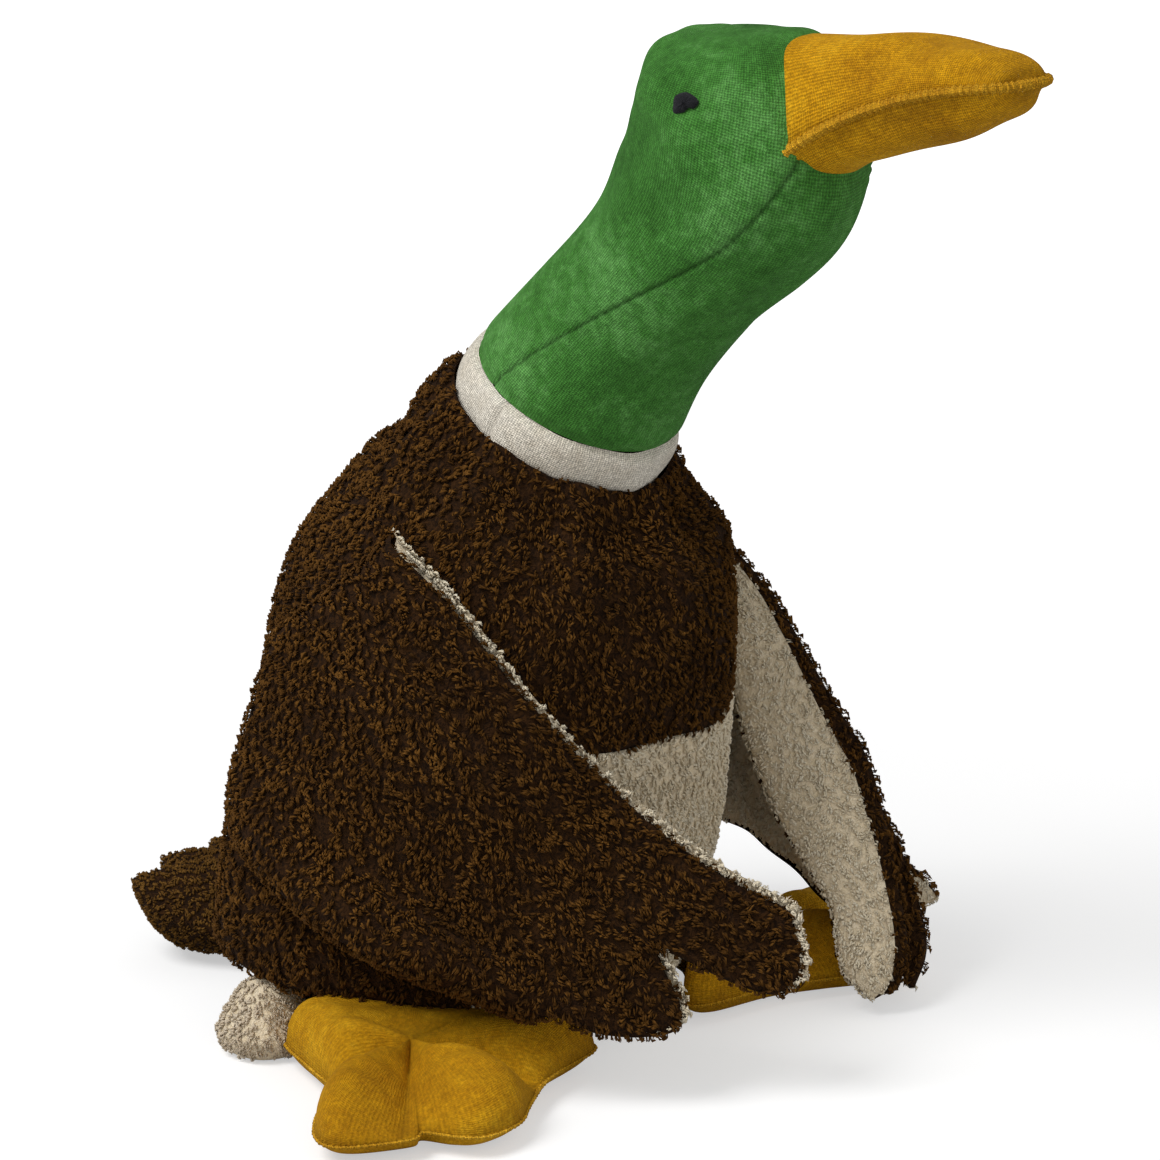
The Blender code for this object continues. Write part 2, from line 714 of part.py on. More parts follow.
def build_limb(side, sign, finishes):
    """A leg that lies on the floor and the webbed foot sewn to it, both cut clear of the body."""
    flip = np.array([[0, -1], [sign, 0]])
    depth, width = seat_reach(LEG_SEAT_SHARE)
    scale = np.array([FOOT_LENGTH, FOOT_WIDTH])
    corner = np.array([-FOOT_BACK_SHARE * depth, FOOT_IN_SHARE * width + LIMB_CLEARANCE])
    outline = (closed_outline(FOOT_SHARES, scale, FOOT_POINTS) + corner) @ flip
    centre = (np.array(FOOT_CENTRE_SHARES) * scale + corner) @ flip

    def foot_top(flat, level):
        turn = np.arctan2(sign * (flat[:, 0] - centre[0]), centre[1] - flat[:, 1])
        valley = sum(np.exp(-(((turn - place) / TOE_VALLEY_WIDTH) ** 2)) for place in TOE_VALLEY_TURNS)
        puff = (1 - level ** FOOT_PUFF) * (1 - TOE_VALLEY_SHARE * valley * level)
        return (FOOT_HEIGHT - FOOT_EDGE_HEIGHT) * puff

    def leg_top(flat, level):
        return np.full(len(flat), (LEG_HEIGHT - FOOT_EDGE_HEIGHT) * (1 - level ** PAD_PUFF))

    def sole(flat, level):
        return np.full(len(flat), FOOT_EDGE_HEIGHT * (1 - level ** SOLE_PUFF))

    def edge_height(flat):
        return FOOT_EDGE_HEIGHT

    foot_names = (f"foot_{side}_upper", f"foot_{side}_sole", f"foot_{side}_filling")
    velour = finishes["mustard_velour"]
    filling = finishes["filling"]
    pieces = stuffed_pad(foot_names, outline, centre, edge_height, foot_top, sole, velour, filling)

    hip = np.array([-LEG_BACK_SHARE * depth, width - LEG_SEAM])
    along = np.array([-sin(LEG_TURN), cos(LEG_TURN)])
    across = np.array([cos(LEG_TURN), sin(LEG_TURN)])
    local = closed_outline(LEG_SHARES, np.array([LEG_LENGTH, LEG_WIDTH]), LEG_POINTS)
    outline = (hip + np.outer(local[:, 0], along) + np.outer(local[:, 1], across)) @ flip
    centre = (hip + LEG_LENGTH * LEG_CENTRE_SHARE * along) @ flip
    leg_names = (f"leg_{side}_upper", f"leg_{side}_under", f"leg_{side}_filling")
    fleece = finishes["cream_fleece"]
    pieces += stuffed_pad(leg_names, outline, centre, edge_height, leg_top, sole, fleece, filling)
    hang_on(f"leg_{side}_hip", leg_hinge(sign), pieces)
    return pieces


def tail_hinge():
    """The tail's hinge place, over the seam so that lifting draws the root off the body."""
    row = rows_at(body_rows(), TAIL_SEAT_SHARE)
    return np.array([0, row[3] - row[0], TAIL_EDGE_HEIGHT + TAIL_HEIGHT * TAIL_HINGE_SHARE])


def leg_hinge(sign):
    """The leg's upright hinge, behind its seam so that swinging out draws it off the body."""
    depth, width = seat_reach(LEG_SEAT_SHARE)
    back = LEG_BACK_SHARE * depth + LEG_WIDTH * LEG_HINGE_SHARE
    return np.array([sign * width, back, 0])


def build_tail(finishes):
    """The tail: a scalloped fan, cupped and turned up towards its tip."""
    row = rows_at(body_rows(), TAIL_SEAT_SHARE)
    start = row[3] - row[0] - TAIL_SEAM
    places = closed_outline(TAIL_SHARES, np.array([TAIL_LENGTH, TAIL_WIDTH]), TAIL_POINTS)
    outline = np.column_stack([places[:, 1], places[:, 0] + start])
    centre = np.array([0, TAIL_LENGTH / 2 + start])

    def edge_height(flat):
        back = np.clip((flat[:, 1] - start) / TAIL_LENGTH, 0, 1)
        aside = flat[:, 0] / (TAIL_WIDTH / 2)
        cup = 1 + TAIL_CUP_SHARE * (aside ** 2 - TAIL_CUP_SHARE)
        return TAIL_EDGE_HEIGHT + TAIL_RISE * back ** 2 * cup

    def swell(flat, level):
        return np.full(len(flat), TAIL_HEIGHT / 2 * (1 - level ** PAD_PUFF))

    def hang(flat, level):
        return (edge_height(flat) - TAIL_FLOOR_GAP) * (1 - level ** TAIL_PUFF)

    names = ("tail_upper", "tail_under", "tail_filling")
    fleece = finishes["brown_fleece"]
    pieces = stuffed_pad(names, outline, centre, edge_height, swell, hang, fleece, finishes["filling"])
    hang_on("tail_root", tail_hinge(), pieces)
    return pieces


def wing_root(sign):
    """The middle of the shoulder seam, off the body's surface, and its direction forwards."""
    surface = body_surface()
    turn = np.array([sign * WING_ROOT_TURN])
    share = np.array([WING_ROOT_SHARE])
    seat = surface(turn, share)[0]
    normal = (seat - inset(surface, turn, share, WING_LAYER)[0]) / WING_LAYER
    level = cos(WING_ROOT_RISE)
    ahead = np.array([-sign * sin(WING_TOE_IN) * level, -cos(WING_TOE_IN) * level, sin(WING_ROOT_RISE)])
    ahead = ahead - normal * (ahead @ normal)
    return seat + normal * (WING_LAYER - WING_SINK), ahead / np.linalg.norm(ahead)


def wing_folds(across, down):
    """A tuck that slants down the wing under a lap, as a height off the wing's sheet."""
    line = TUCK_DOWN_SHARE + TUCK_SLANT_SHARE * (across - TUCK_START_SHARE)
    beside = bell(across, TUCK_ACROSS_SHARE, TUCK_WIDTH_SHARE)
    tuck = WING_TUCK * bell(down, line, TUCK_DEPTH_SHARE)
    lap = WING_LAP * bell(down, line - LAP_ABOVE_SHARE, TUCK_DEPTH_SHARE)
    return beside * (lap - tuck)


def build_wing(side, sign, shapes, creased, finishes):
    """A wing of two layers of fleece between its straight shoulder seam and its hem.

    The sheet runs straight from the seam to the hem, plus a bulge away from the body that is
    four times a(1 - a) at the share a of the way down. Its front edge follows its own table.
    A creased wing is also tucked, and notched between its front feathers.
    """
    hem_shares, bulge_shares, front_shares = shapes
    middle, ahead = wing_root(sign)
    hem = np.array(hem_shares) * [WING_REACH, WING_OUT, WING_DROP]
    hem = np.column_stack([sign * hem[:, 1], -hem[:, 0], hem[:, 2]])
    across = np.linspace(0, 1, WING_COLUMNS)
    root = middle + np.outer((across - 0.5) * WING_ROOT, ahead)
    bulge = rows_at(bulge_shares, across) * WING_BULGE
    notch = creased * NOTCH_DEPTH_SHARE * bell(across, NOTCH_ACROSS_SHARE, NOTCH_WIDTH_SHARE)
    down = np.outer(np.linspace(0, 1, WING_ROWS), 1 - notch)[..., None]
    front = rows_at(front_shares, down[..., 0]) * WING_BULGE * [sign, -1, 1]
    sheet = root * (1 - down) + rows_at(hem, across) * down
    out = sheet * [1, 1, 0]
    out = out / np.linalg.norm(out, axis=-1, keepdims=True)
    sheet = sheet + out * 4 * down * (1 - down) * bulge
    sheet = sheet + front * bell(across, 1, WING_FRONT_SPAN_SHARE)[:, None]
    sheet = sheet + out * creased * wing_folds(across, down[..., 0])[..., None]
    normal = np.cross(np.gradient(sheet, axis=0), np.gradient(sheet, axis=1)) * -sign
    normal = normal / np.linalg.norm(normal, axis=-1, keepdims=True)
    near = normal * SEAM_GAP / 2
    far = normal * WING_LAYER
    outer = panel(f"wing_{side}_outer", sheet + far, sheet + near, finishes["brown_fleece"])
    lining = panel(f"wing_{side}_lining", sheet - near, sheet - far, finishes["cream_fleece"])
    hang_on(f"wing_{side}_shoulder", middle, [outer, lining])
    return [outer, lining]


def main():
    clear_scene()
    finishes = {
        "filling": make_finish("filling", (0.80, 0.76, 0.66), 0.9),
        "brown_fleece": make_finish("brown_fleece", (0.045, 0.022, 0.009), 0.95),
        "cream_fleece": make_finish("cream_fleece", (0.42, 0.36, 0.26), 0.95),
        "green_velour": make_finish("green_velour", (0.05, 0.19, 0.04), 0.85),
        "cream_velour": make_finish("cream_velour", (0.55, 0.50, 0.39), 0.85),
        "mustard_velour": make_finish("mustard_velour", (0.45, 0.20, 0.01), 0.85),
        "black_felt": make_finish("black_felt", (0.004, 0.004, 0.005), 0.7),
    }
    build_body(finishes)
    neck = hang_on("neck_pivot", PIVOT, build_neck(finishes))
    hang_on("head_pivot", COLLAR_TOP, build_head(finishes) + build_beak(finishes), neck)
    attached = build_tail(finishes)
    attached += build_limb("right", -1, finishes)
    attached += build_limb("left", 1, finishes)
    right_shapes = (RIGHT_HEM_SHARES, RIGHT_BULGE_SHARES, RIGHT_FRONT_SHARES)
    left_shapes = (LEFT_HEM_SHARES, LEFT_BULGE_SHARES, LEFT_FRONT_SHARES)
    attached += build_wing("right", -1, right_shapes, 1, finishes)
    attached += build_wing("left", 1, left_shapes, 0, finishes)
    body = solid_of_rings("body_clearance", body_skin(full_turn(), -LIMB_CLEARANCE / 2), finishes["filling"])
    cut_by(attached, body)


main()
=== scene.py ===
# %% [markdown]
# # A sewn plush drake, cloth by cloth
# The toy is wadding inside sewn panels: curly brown and cream fleece on the body, wings, legs
# and tail, and fine ribbed velour on the head, collar, beak and feet. Each panel here is a
# smooth surface worked out on a grid, and the fleece gets its pile as real little tufts.

from math import cos, pi, radians, sin

import bmesh
import bpy
import numpy as np
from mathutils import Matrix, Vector


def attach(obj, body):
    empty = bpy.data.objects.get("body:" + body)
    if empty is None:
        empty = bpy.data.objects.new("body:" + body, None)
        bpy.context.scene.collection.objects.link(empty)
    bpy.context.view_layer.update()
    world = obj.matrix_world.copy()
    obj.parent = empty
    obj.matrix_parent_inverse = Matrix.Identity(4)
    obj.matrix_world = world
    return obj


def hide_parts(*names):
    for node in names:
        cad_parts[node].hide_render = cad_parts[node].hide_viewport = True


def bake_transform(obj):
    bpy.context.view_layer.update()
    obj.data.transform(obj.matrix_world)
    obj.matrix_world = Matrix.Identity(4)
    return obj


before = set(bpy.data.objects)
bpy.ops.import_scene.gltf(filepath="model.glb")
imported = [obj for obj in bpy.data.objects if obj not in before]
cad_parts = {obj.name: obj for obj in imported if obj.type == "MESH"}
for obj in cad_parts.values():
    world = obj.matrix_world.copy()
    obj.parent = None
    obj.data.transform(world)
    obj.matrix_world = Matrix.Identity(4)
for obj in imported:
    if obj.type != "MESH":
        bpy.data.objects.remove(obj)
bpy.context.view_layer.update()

# %% [markdown]
# ## The view
# The photograph looks down a little, from the toy's right and front, with a long lens. The
# camera stands two metres off and takes in about half a metre.

# %% Camera
AZIMUTH, ELEVATION = radians(-50), radians(13.5)
LOOK_AT = Vector((0, -0.060, 0.208))
DISTANCE, FIELD = 2.0, 0.51
TOWARD = Vector((sin(AZIMUTH) * cos(ELEVATION), -cos(AZIMUTH) * cos(ELEVATION), sin(ELEVATION)))
SIDEWAYS = Vector((cos(AZIMUTH), sin(AZIMUTH), 0))

lens = bpy.data.cameras.new("camera")
lens.sensor_width = 36
lens.lens = 36 * DISTANCE / FIELD
camera = bpy.data.objects.new("camera", lens)
camera.location = LOOK_AT + DISTANCE * TOWARD
camera.rotation_euler = TOWARD.to_track_quat("Z", "Y").to_euler()
bpy.context.scene.collection.objects.link(camera)
bpy.context.scene.camera = camera
bpy.context.scene.view_settings.view_transform = "Standard"
print("lens", round(lens.lens, 1), "mm")

# %% [markdown]
# ## Light and floor
# A big soft lamp high on the left of the picture, a weak one on the right and an even world
# keep the shade soft. The floor shows white to the camera but still takes the toy's shadow:
# near the toy half of its brightness is its own and the rest comes from the lamps, and its own
# share grows with the distance until far off the floor is as white as the world.

# %% Lamps, world and floor
KEY_POWER, FILL_POWER, WORLD_STRENGTH = 46, 5, 0.40
WHITE, FLOOR_GREY = (1, 1, 1, 1), (0.62, 0.62, 0.62, 1)
FLOOR_NEAR, FLOOR_FAR, OWN_NEAR, OWN_FAR = 0.4, 2.5, 0.5, 1.0


def add_node(tree, kind, inputs=None, **settings):
    """A node with its settings. Each of its inputs is set to a value or linked to an output."""
    node = tree.nodes.new(kind)
    for label, value in settings.items():
        setattr(node, label, value)
    for label, value in (inputs or {}).items():
        if isinstance(value, bpy.types.NodeSocket):
            tree.links.new(value, node.inputs[label])
        else:
            node.inputs[label].default_value = value
    return node.outputs


def soft_lamp(name, place, power, size):
    """A square area lamp that looks at the toy."""
    light = bpy.data.lights.new(name, "AREA")
    light.energy, light.size = power, size
    lamp = bpy.data.objects.new(name, light)
    lamp.location = place
    lamp.rotation_euler = (place - LOOK_AT).to_track_quat("Z", "Y").to_euler()
    bpy.context.scene.collection.objects.link(lamp)


soft_lamp("key_lamp", LOOK_AT + TOWARD - SIDEWAYS * 1.3 + Vector((0, 0, 1.7)), KEY_POWER, 1.3)
soft_lamp("fill_lamp", LOOK_AT + TOWARD * 1.6 + SIDEWAYS * 0.9 + Vector((0, 0, 0.3)), FILL_POWER, 1.6)

world = bpy.data.worlds.new("studio")
bpy.context.scene.world = world
world.use_nodes = True
tree = world.node_tree
tree.nodes.remove(tree.nodes["Background"])
plain = add_node(tree, "ShaderNodeBackground", {"Color": WHITE, "Strength": WORLD_STRENGTH})
shown = add_node(tree, "ShaderNodeBackground", {"Color": WHITE})
seen = add_node(tree, "ShaderNodeLightPath")["Is Camera Ray"]
either = add_node(tree, "ShaderNodeMixShader", {0: seen, 1: plain[0], 2: shown[0]})
tree.links.new(either[0], tree.nodes["World Output"].inputs["Surface"])

bpy.ops.mesh.primitive_plane_add(size=12)
floor = bpy.context.object
floor.name = "floor"
paper = bpy.data.materials.new("floor_paper")
paper.use_nodes = True
tree = paper.node_tree
tree.nodes.remove(tree.nodes["Principled BSDF"])
matt = add_node(tree, "ShaderNodeBsdfDiffuse", {"Color": FLOOR_GREY})
place = add_node(tree, "ShaderNodeTexCoord")["Object"]
far_off = add_node(tree, "ShaderNodeVectorMath", {0: place}, operation="LENGTH")["Value"]
own = add_node(tree, "ShaderNodeMapRange", {
    "Value": far_off, "From Min": FLOOR_NEAR, "From Max": FLOOR_FAR, "To Min": OWN_NEAR, "To Max": OWN_FAR,
})[0]
seen = add_node(tree, "ShaderNodeLightPath")["Is Camera Ray"]
strength = add_node(tree, "ShaderNodeMath", {0: seen, 1: own}, operation="MULTIPLY")[0]
glow = add_node(tree, "ShaderNodeEmission", {"Strength": strength})
both = add_node(tree, "ShaderNodeAddShader", {0: matt[0], 1: glow[0]})
tree.links.new(both[0], tree.nodes["Material Output"].inputs["Surface"])
floor.data.materials.append(paper)
print("lamps", KEY_POWER, FILL_POWER, "watts, world", WORLD_STRENGTH)


# %% [markdown]
# ## Smooth curves and surfaces
# Every shape is read from a short table of rows with a smooth curve through them, so a few
# numbers a person can read make a surface with as many points as it needs.

# %% Curves through tables
def rows_at(table, share):
    """Rows of a table at shares 0..1 of its length, on a Catmull-Rom curve: a cubic whose slope
    at each row is half the step from the row before to the row after."""
    table = np.asarray(table, float)
    place = np.clip(np.asarray(share, float), 0, 1) * (len(table) - 1)
    start = np.minimum(place.astype(int), len(table) - 2)
    part = (place - start)[..., None]
    padded = np.vstack([2 * table[0] - table[1], table, 2 * table[-1] - table[-2]])
    before, here, after, beyond = (padded[start + k] for k in range(4))
    slope_in, slope_out, rise = (after - before) / 2, (beyond - here) / 2, after - here
    cubic = slope_in + slope_out - 2 * rise
    square = 3 * rise - 2 * slope_in - slope_out
    return here + part * (slope_in + part * (square + part * cubic))


def numbers_at(numbers, share):
    """The same curve through plain numbers."""
    return rows_at(np.array(numbers)[:, None], share)[..., 0]


def closed_outline(table, scale, count):
    """Points along a smooth closed curve through a table of places."""
    corners = np.array(table) * scale
    wrapped = np.vstack([corners[-1:], corners, corners[:2]])
    return rows_at(wrapped, (np.arange(count) / count * len(corners) + 1) / (len(wrapped) - 1))


def bump_at(value, centre, width):
    """A bell: one at the centre, fading over the width."""
    return np.exp(-(((value - centre) / width) ** 2))


def unit(vectors):
    """Vectors made one long."""
    return vectors / np.maximum(np.linalg.norm(vectors, axis=-1, keepdims=True), 1e-12)


def spine_surface(rows):
    """Rings on a bent spine: a point is its ring's centre, plus the half depth times the turn's
    cosine along the leaning forward direction, plus the half width times its sine."""

    def point(turn, share):
        forward, height, lean, depth, width = np.moveaxis(rows_at(rows, share), -1, 0)
        ahead, side = depth * np.cos(turn), width * np.sin(turn)
        return np.stack([side, -forward - ahead * np.cos(lean), height - ahead * np.sin(lean)], -1)

    return point


def outward(surface, turn, share, step=0.002):
    """The surface's outward direction: its step in turn crossed with its step in share."""
    across = surface(turn + step, share) - surface(turn - step, share)
    low, high = np.clip(share - step, 0, 1), np.clip(share + step, 0, 1)
    return unit(np.cross(across, surface(turn, high) - surface(turn, low)))


# %% [markdown]
# ## Turning grids into meshes
# A grid of points becomes quads with a UV map in metres of cloth, so that a knitted rib keeps
# its real width wherever the panel is cut. Doubled points along a closed seam are merged.

# %% Meshes from grids
def link_mesh(name, points, faces, finish, uv=None, marks=()):
    """A mesh from arrays of points and of equal-sided faces, with float marks on its points."""
    mesh = bpy.data.meshes.new(name)
    mesh.vertices.add(len(points))
    mesh.vertices.foreach_set("co", np.asarray(points, np.float32).ravel())
    mesh.loops.add(faces.size)
    mesh.loops.foreach_set("vertex_index", faces.astype(np.int32).ravel())
    mesh.polygons.add(len(faces))
    mesh.polygons.foreach_set("loop_start", np.arange(0, faces.size, faces.shape[1], dtype=np.int32))
    if uv is not None:
        layer = mesh.uv_layers.new(name="cloth")
        layer.data.foreach_set("uv", uv[faces.ravel()].astype(np.float32).ravel())
    for label, values in marks:
        mark = mesh.attributes.new(label, "FLOAT", "POINT")
        mark.data.foreach_set("value", values.astype(np.float32))
    mesh.update(calc_edges=True)
    mesh.validate()
    mesh.shade_smooth()
    mesh.materials.append(finish)
    piece = bpy.data.objects.new(name, mesh)
    bpy.context.scene.collection.objects.link(piece)
    print(name, len(points), "points", len(faces), "faces")
    return piece


def step_lengths(points, axis=0):
    """How far it is from each point to the next."""
    return np.linalg.norm(np.diff(points, axis=axis), axis=-1)


def run_lengths(steps):
    """How far each point is from the first one, from the steps between them."""
    return np.concatenate([[0], np.cumsum(steps)])


def cloth_lengths(grid):
    """Cloth UV in metres: how far each point is along its row and up its column."""
    along = run_lengths(step_lengths(grid, 1).mean(0))
    up = run_lengths(step_lengths(grid).mean(1))
    return np.stack(np.broadcast_arrays(along[None, :], up[:, None]), -1)


def grid_piece(name, grid, finish, marks=()):
    """A piece from a grid of points, with doubled points merged and faces as the grid turns."""
    rows, columns = grid.shape[:2]
    corner = (np.arange(rows - 1)[:, None] * columns + np.arange(columns - 1)).ravel()
    faces = np.stack([corner, corner + 1, corner + columns + 1, corner + columns], -1)
    marks = [(label, values.ravel()) for label, values in marks]
    lengths = cloth_lengths(grid).reshape(-1, 2)
    piece = link_mesh(name, grid.reshape(-1, 3), faces, finish, lengths, marks)
    work = bmesh.new()
    work.from_mesh(piece.data)
    bmesh.ops.remove_doubles(work, verts=work.verts, dist=2e-6)
    work.to_mesh(piece.data)
    work.free()
    return piece


def cell_normals(grid):
    """A normal for each cell of the grid, as long as the cell is large."""
    return np.cross(np.diff(grid, axis=1)[:-1], np.diff(grid, axis=0)[:, :-1])


def cloth_area(grid):
    """The area of all the grid's cells."""
    return np.linalg.norm(cell_normals(grid), axis=-1).sum()


def join_pieces(name, pieces):
    """Several meshes made into one piece."""
    bpy.ops.object.select_all(action="DESELECT")
    for piece in pieces:
        piece.select_set(True)
    bpy.context.view_layer.objects.active = pieces[0]
    bpy.ops.object.join()
    pieces[0].name = name
    return pieces[0]


def faced_out(grid):
    """The grid of a closed pad, turned so that its faces look away from its middle."""
    middle = grid.reshape(-1, 3).mean(0)
    volume = (cell_normals(grid) * (grid[:-1, :-1] - middle)).sum()
    return grid if volume > 0 else grid[:, ::-1]


def capped(grid, beyond, rows):
    """Adds rows that draw the last ring in to one point, which lies beyond the ring's middle."""
    tip = grid[-1].mean(0) + np.array(beyond)
    cap = np.linspace(0, 1, rows + 1)[1:, None, None]
    return np.concatenate([grid, grid[-1] * (1 - cap) + tip * cap])


# %% [markdown]
# ## Pile
# Teddy fleece is a knit full of short curled tufts of yarn. A picture of fur would look flat
# from the side, so each tuft is made of four thin strands of six faces, which start on a small
# disc and meet near one tip. They are spread evenly by area over a panel's grid.

# %% Tufts of pile
PILE_PER_AREA = 140000
STRANDS, TUFT_RADIUS, STRAND_THICKNESS = 4, 0.0015, 0.0011
STRAND_FACES = [(0, 2, 1), (0, 3, 2), (0, 1, 3), (4, 1, 2), (4, 2, 3), (4, 3, 1)]
CREAM_PILE = {"length": 0.0027, "stand": 0.0011}
SHORT_PILE = {"length": 0.0022, "stand": 0.0009}
SWIRLS = (((95, 60, 120), 0), ((-140, 110, 70), 1), ((60, -190, 210), 2))
PARTINGS = (((420, 260, 310), 0), ((-300, 410, 220), 1), ((240, -380, 450), 0))
PARTING_WIDTH = 0.42


def waves_at(place, waves):
    """A sum of sines over space, each with its pace along the three axes and its shift."""
    return sum(np.sin(place @ pace + shift) for pace, shift in waves)


def scatter(grid, count, rng):
    """Even random places on a grid surface: each cell gets as many as its area takes."""
    low_left, low_right = grid[:-1, :-1], grid[:-1, 1:]
    up_left, up_right = grid[1:, :-1], grid[1:, 1:]
    normal = np.cross(low_right - low_left + up_right - up_left, up_left - low_left + up_right - low_right)
    area = np.linalg.norm(normal, axis=-1).ravel()
    steps = (np.arange(count) + rng.random(count)) / count
    pick = np.searchsorted(np.cumsum(area) / area.sum(), steps).clip(0, area.size - 1)
    u, v = rng.random((2, count, 1))
    a, b, c, d = (side.reshape(-1, 3)[pick] for side in (low_left, low_right, up_left, up_right))
    place = (1 - u) * (1 - v) * a + u * (1 - v) * b + (1 - u) * v * c + u * v * d
    return place, unit(normal).reshape(-1, 3)[pick], unit(a + b - c - d)


def grow_tufts(place, normal, lay, length, stand, rng):
    """Tufts of thin strands. A tuft heads down its lay, turned aside by slow waves over the toy
    and by chance. A strand starts at its own spot of a disc round the tuft's foot, bends at a
    raised ring of three points a little before halfway and ends near the tuft's one tip."""
    count = len(place)
    heading = (0.30 * waves_at(place, SWIRLS) + rng.normal(0, 0.40, count))[:, None]
    flat_lay = unit(lay - normal * (lay * normal).sum(-1, keepdims=True))
    along = np.cos(heading) * flat_lay + np.sin(heading) * np.cross(normal, flat_lay)
    aside = np.cross(normal, along)
    size = length * rng.uniform(0.65, 1.35, (count, 1))
    rise = stand * rng.uniform(0.60, 1.40, (count, 1))
    curl = size * rng.normal(0, 0.22, (count, 1))
    tuft = np.repeat(np.arange(count), STRANDS)
    per_tuft = (place, normal, along, aside, size, rise, curl)
    place, normal, along, aside, size, rise, curl = (values[tuft] for values in per_tuft)
    spread = TUFT_RADIUS * np.sqrt(rng.random((len(tuft), 1)))
    angle = rng.uniform(0, 2 * pi, (len(tuft), 1))
    spot = np.cos(angle) * spread * along + np.sin(angle) * spread * aside
    vary = rng.uniform(0.75, 1.2, (len(tuft), 1))
    foot = place + spot * 1.05 - normal * 0.0009 - along * size * 0.25
    bend = place + spot * 0.85 + normal * rise * vary + along * size * 0.18
    ends = place + spot * 0.45 + normal * rise * 0.75 + along * size * 0.75 * vary + aside * curl
    turn = np.array([0, 2 * pi / 3, 4 * pi / 3])[:, None]
    spokes = np.cos(turn) * aside[:, None] + np.sin(turn) * normal[:, None]
    ring = bend[:, None] + STRAND_THICKNESS / 2 * rng.uniform(0.7, 1.3, (len(tuft), 1, 1)) * spokes
    points = np.concatenate([foot[:, None], ring, ends[:, None]], 1)
    faces = (np.arange(len(tuft))[:, None, None] * 5 + np.array(STRAND_FACES)).reshape(-1, 3)
    tip = np.tile([0, 0.6, 0.6, 0.6, 1], len(tuft))
    shade = (0.55 * rng.random(count)[tuft] + 0.45 * rng.random(len(tuft))).repeat(5)
    return points.reshape(-1, 3), faces, tip, shade


def pile_piece(name, grids, finish, seed, lay=None, keep=None, length=0.0036, stand=0.0018, parted=False):
    """Tufts all over grids of cloth, lying down their columns unless another lay is given.
    Parted pile has none where a sum of waves is near zero, and keep picks places to hold."""
    rng = np.random.default_rng(seed)
    spots = [scatter(grid, int(cloth_area(grid) * PILE_PER_AREA), rng) for grid in grids]
    place, normal, down = (np.concatenate(values) for values in zip(*spots))
    chosen = np.ones(len(place), bool)
    if parted:
        chosen &= np.abs(waves_at(place, PARTINGS)) > PARTING_WIDTH
    if keep is not None:
        chosen &= keep(place)
    place, normal, down = place[chosen], normal[chosen], down[chosen]
    lay = down if lay is None else np.broadcast_to(lay, place.shape)
    points, faces, tip, shade = grow_tufts(place, normal, lay, length, stand, rng)
    return link_mesh(name, points, faces, finish, None, [("tip", tip), ("lock", shade)])


# %% [markdown]
# ## Finishes
# Fleece has painted shade: the brown ground is painted nearly black between the tufts, and the
# tufts are painted darker at their roots and lighter at their tips. Each tuft has its own tone.
# Velour is a fine knit: broken rows of stitches a millimetre apart on its UV map, brushed
# patches, and the soft light edge of short pile. All of it is made from noise and waves.

# %% Node helpers
def new_finish(name, roughness, sheen, tint):
    """A Principled cloth with its constants set on its own sockets, and what its nodes need:
    its tree and its Object coordinates."""
    finish = bpy.data.materials.new(name)
    finish.use_nodes = True
    sockets = finish.node_tree.nodes["Principled BSDF"].inputs
    sockets["Roughness"].default_value = roughness
    sockets["Specular IOR Level"].default_value = 0.15
    sockets["Sheen Weight"].default_value = sheen
    sockets["Sheen Roughness"].default_value = 0.6
    sockets["Sheen Tint"].default_value = (*tint, 1)
    return finish, finish.node_tree, add_node(finish.node_tree, "ShaderNodeTexCoord")["Object"]


def grey(level):
    """A colour without a hue."""
    return level, level, level


def ramp(tree, factor, stops):
    """A colour ramp from (position, colour) stops."""
    node = tree.nodes.new("ShaderNodeValToRGB")
    spots = node.color_ramp.elements
    while len(spots) < len(stops):
        spots.new(0.5)
    for spot, (position, colour) in zip(spots, stops):
        spot.position = position
        spot.color = (*colour, 1)
    tree.links.new(factor, node.inputs[0])
    return node.outputs[0]


def noise(tree, vector, scale, detail=2.0, distortion=0.0):
    """A noise texture read on a vector."""
    inputs = {"Vector": vector, "Scale": scale, "Detail": detail, "Distortion": distortion}
    return add_node(tree, "ShaderNodeTexNoise", inputs)[0]


def tint_by(tree, amount, colour, other):
    """A colour multiplied by another, as strongly as the amount says."""
    inputs = {0: amount, 6: colour, 7: other}
    return add_node(tree, "ShaderNodeMix", inputs, data_type="RGBA", blend_type="MULTIPLY")[2]


def sums(tree, kind, first, second):
    """One math step."""
    return add_node(tree, "ShaderNodeMath", {0: first, 1: second}, operation=kind)[0]


def attribute(tree, label):
    """A float mark of the mesh."""
    return add_node(tree, "ShaderNodeAttribute", attribute_name=label)["Fac"]


def dyed(finish, colour, height, distance, strength=1.0):
    """The cloth with its colour and with a bump from a height, its real depth in metres."""
    tree = finish.node_tree
    inputs = {"Height": height, "Distance": distance, "Strength": strength}
    sockets = tree.nodes["Principled BSDF"].inputs
    tree.links.new(colour, sockets["Base Color"])
    tree.links.new(add_node(tree, "ShaderNodeBump", inputs)[0], sockets["Normal"])
    return finish


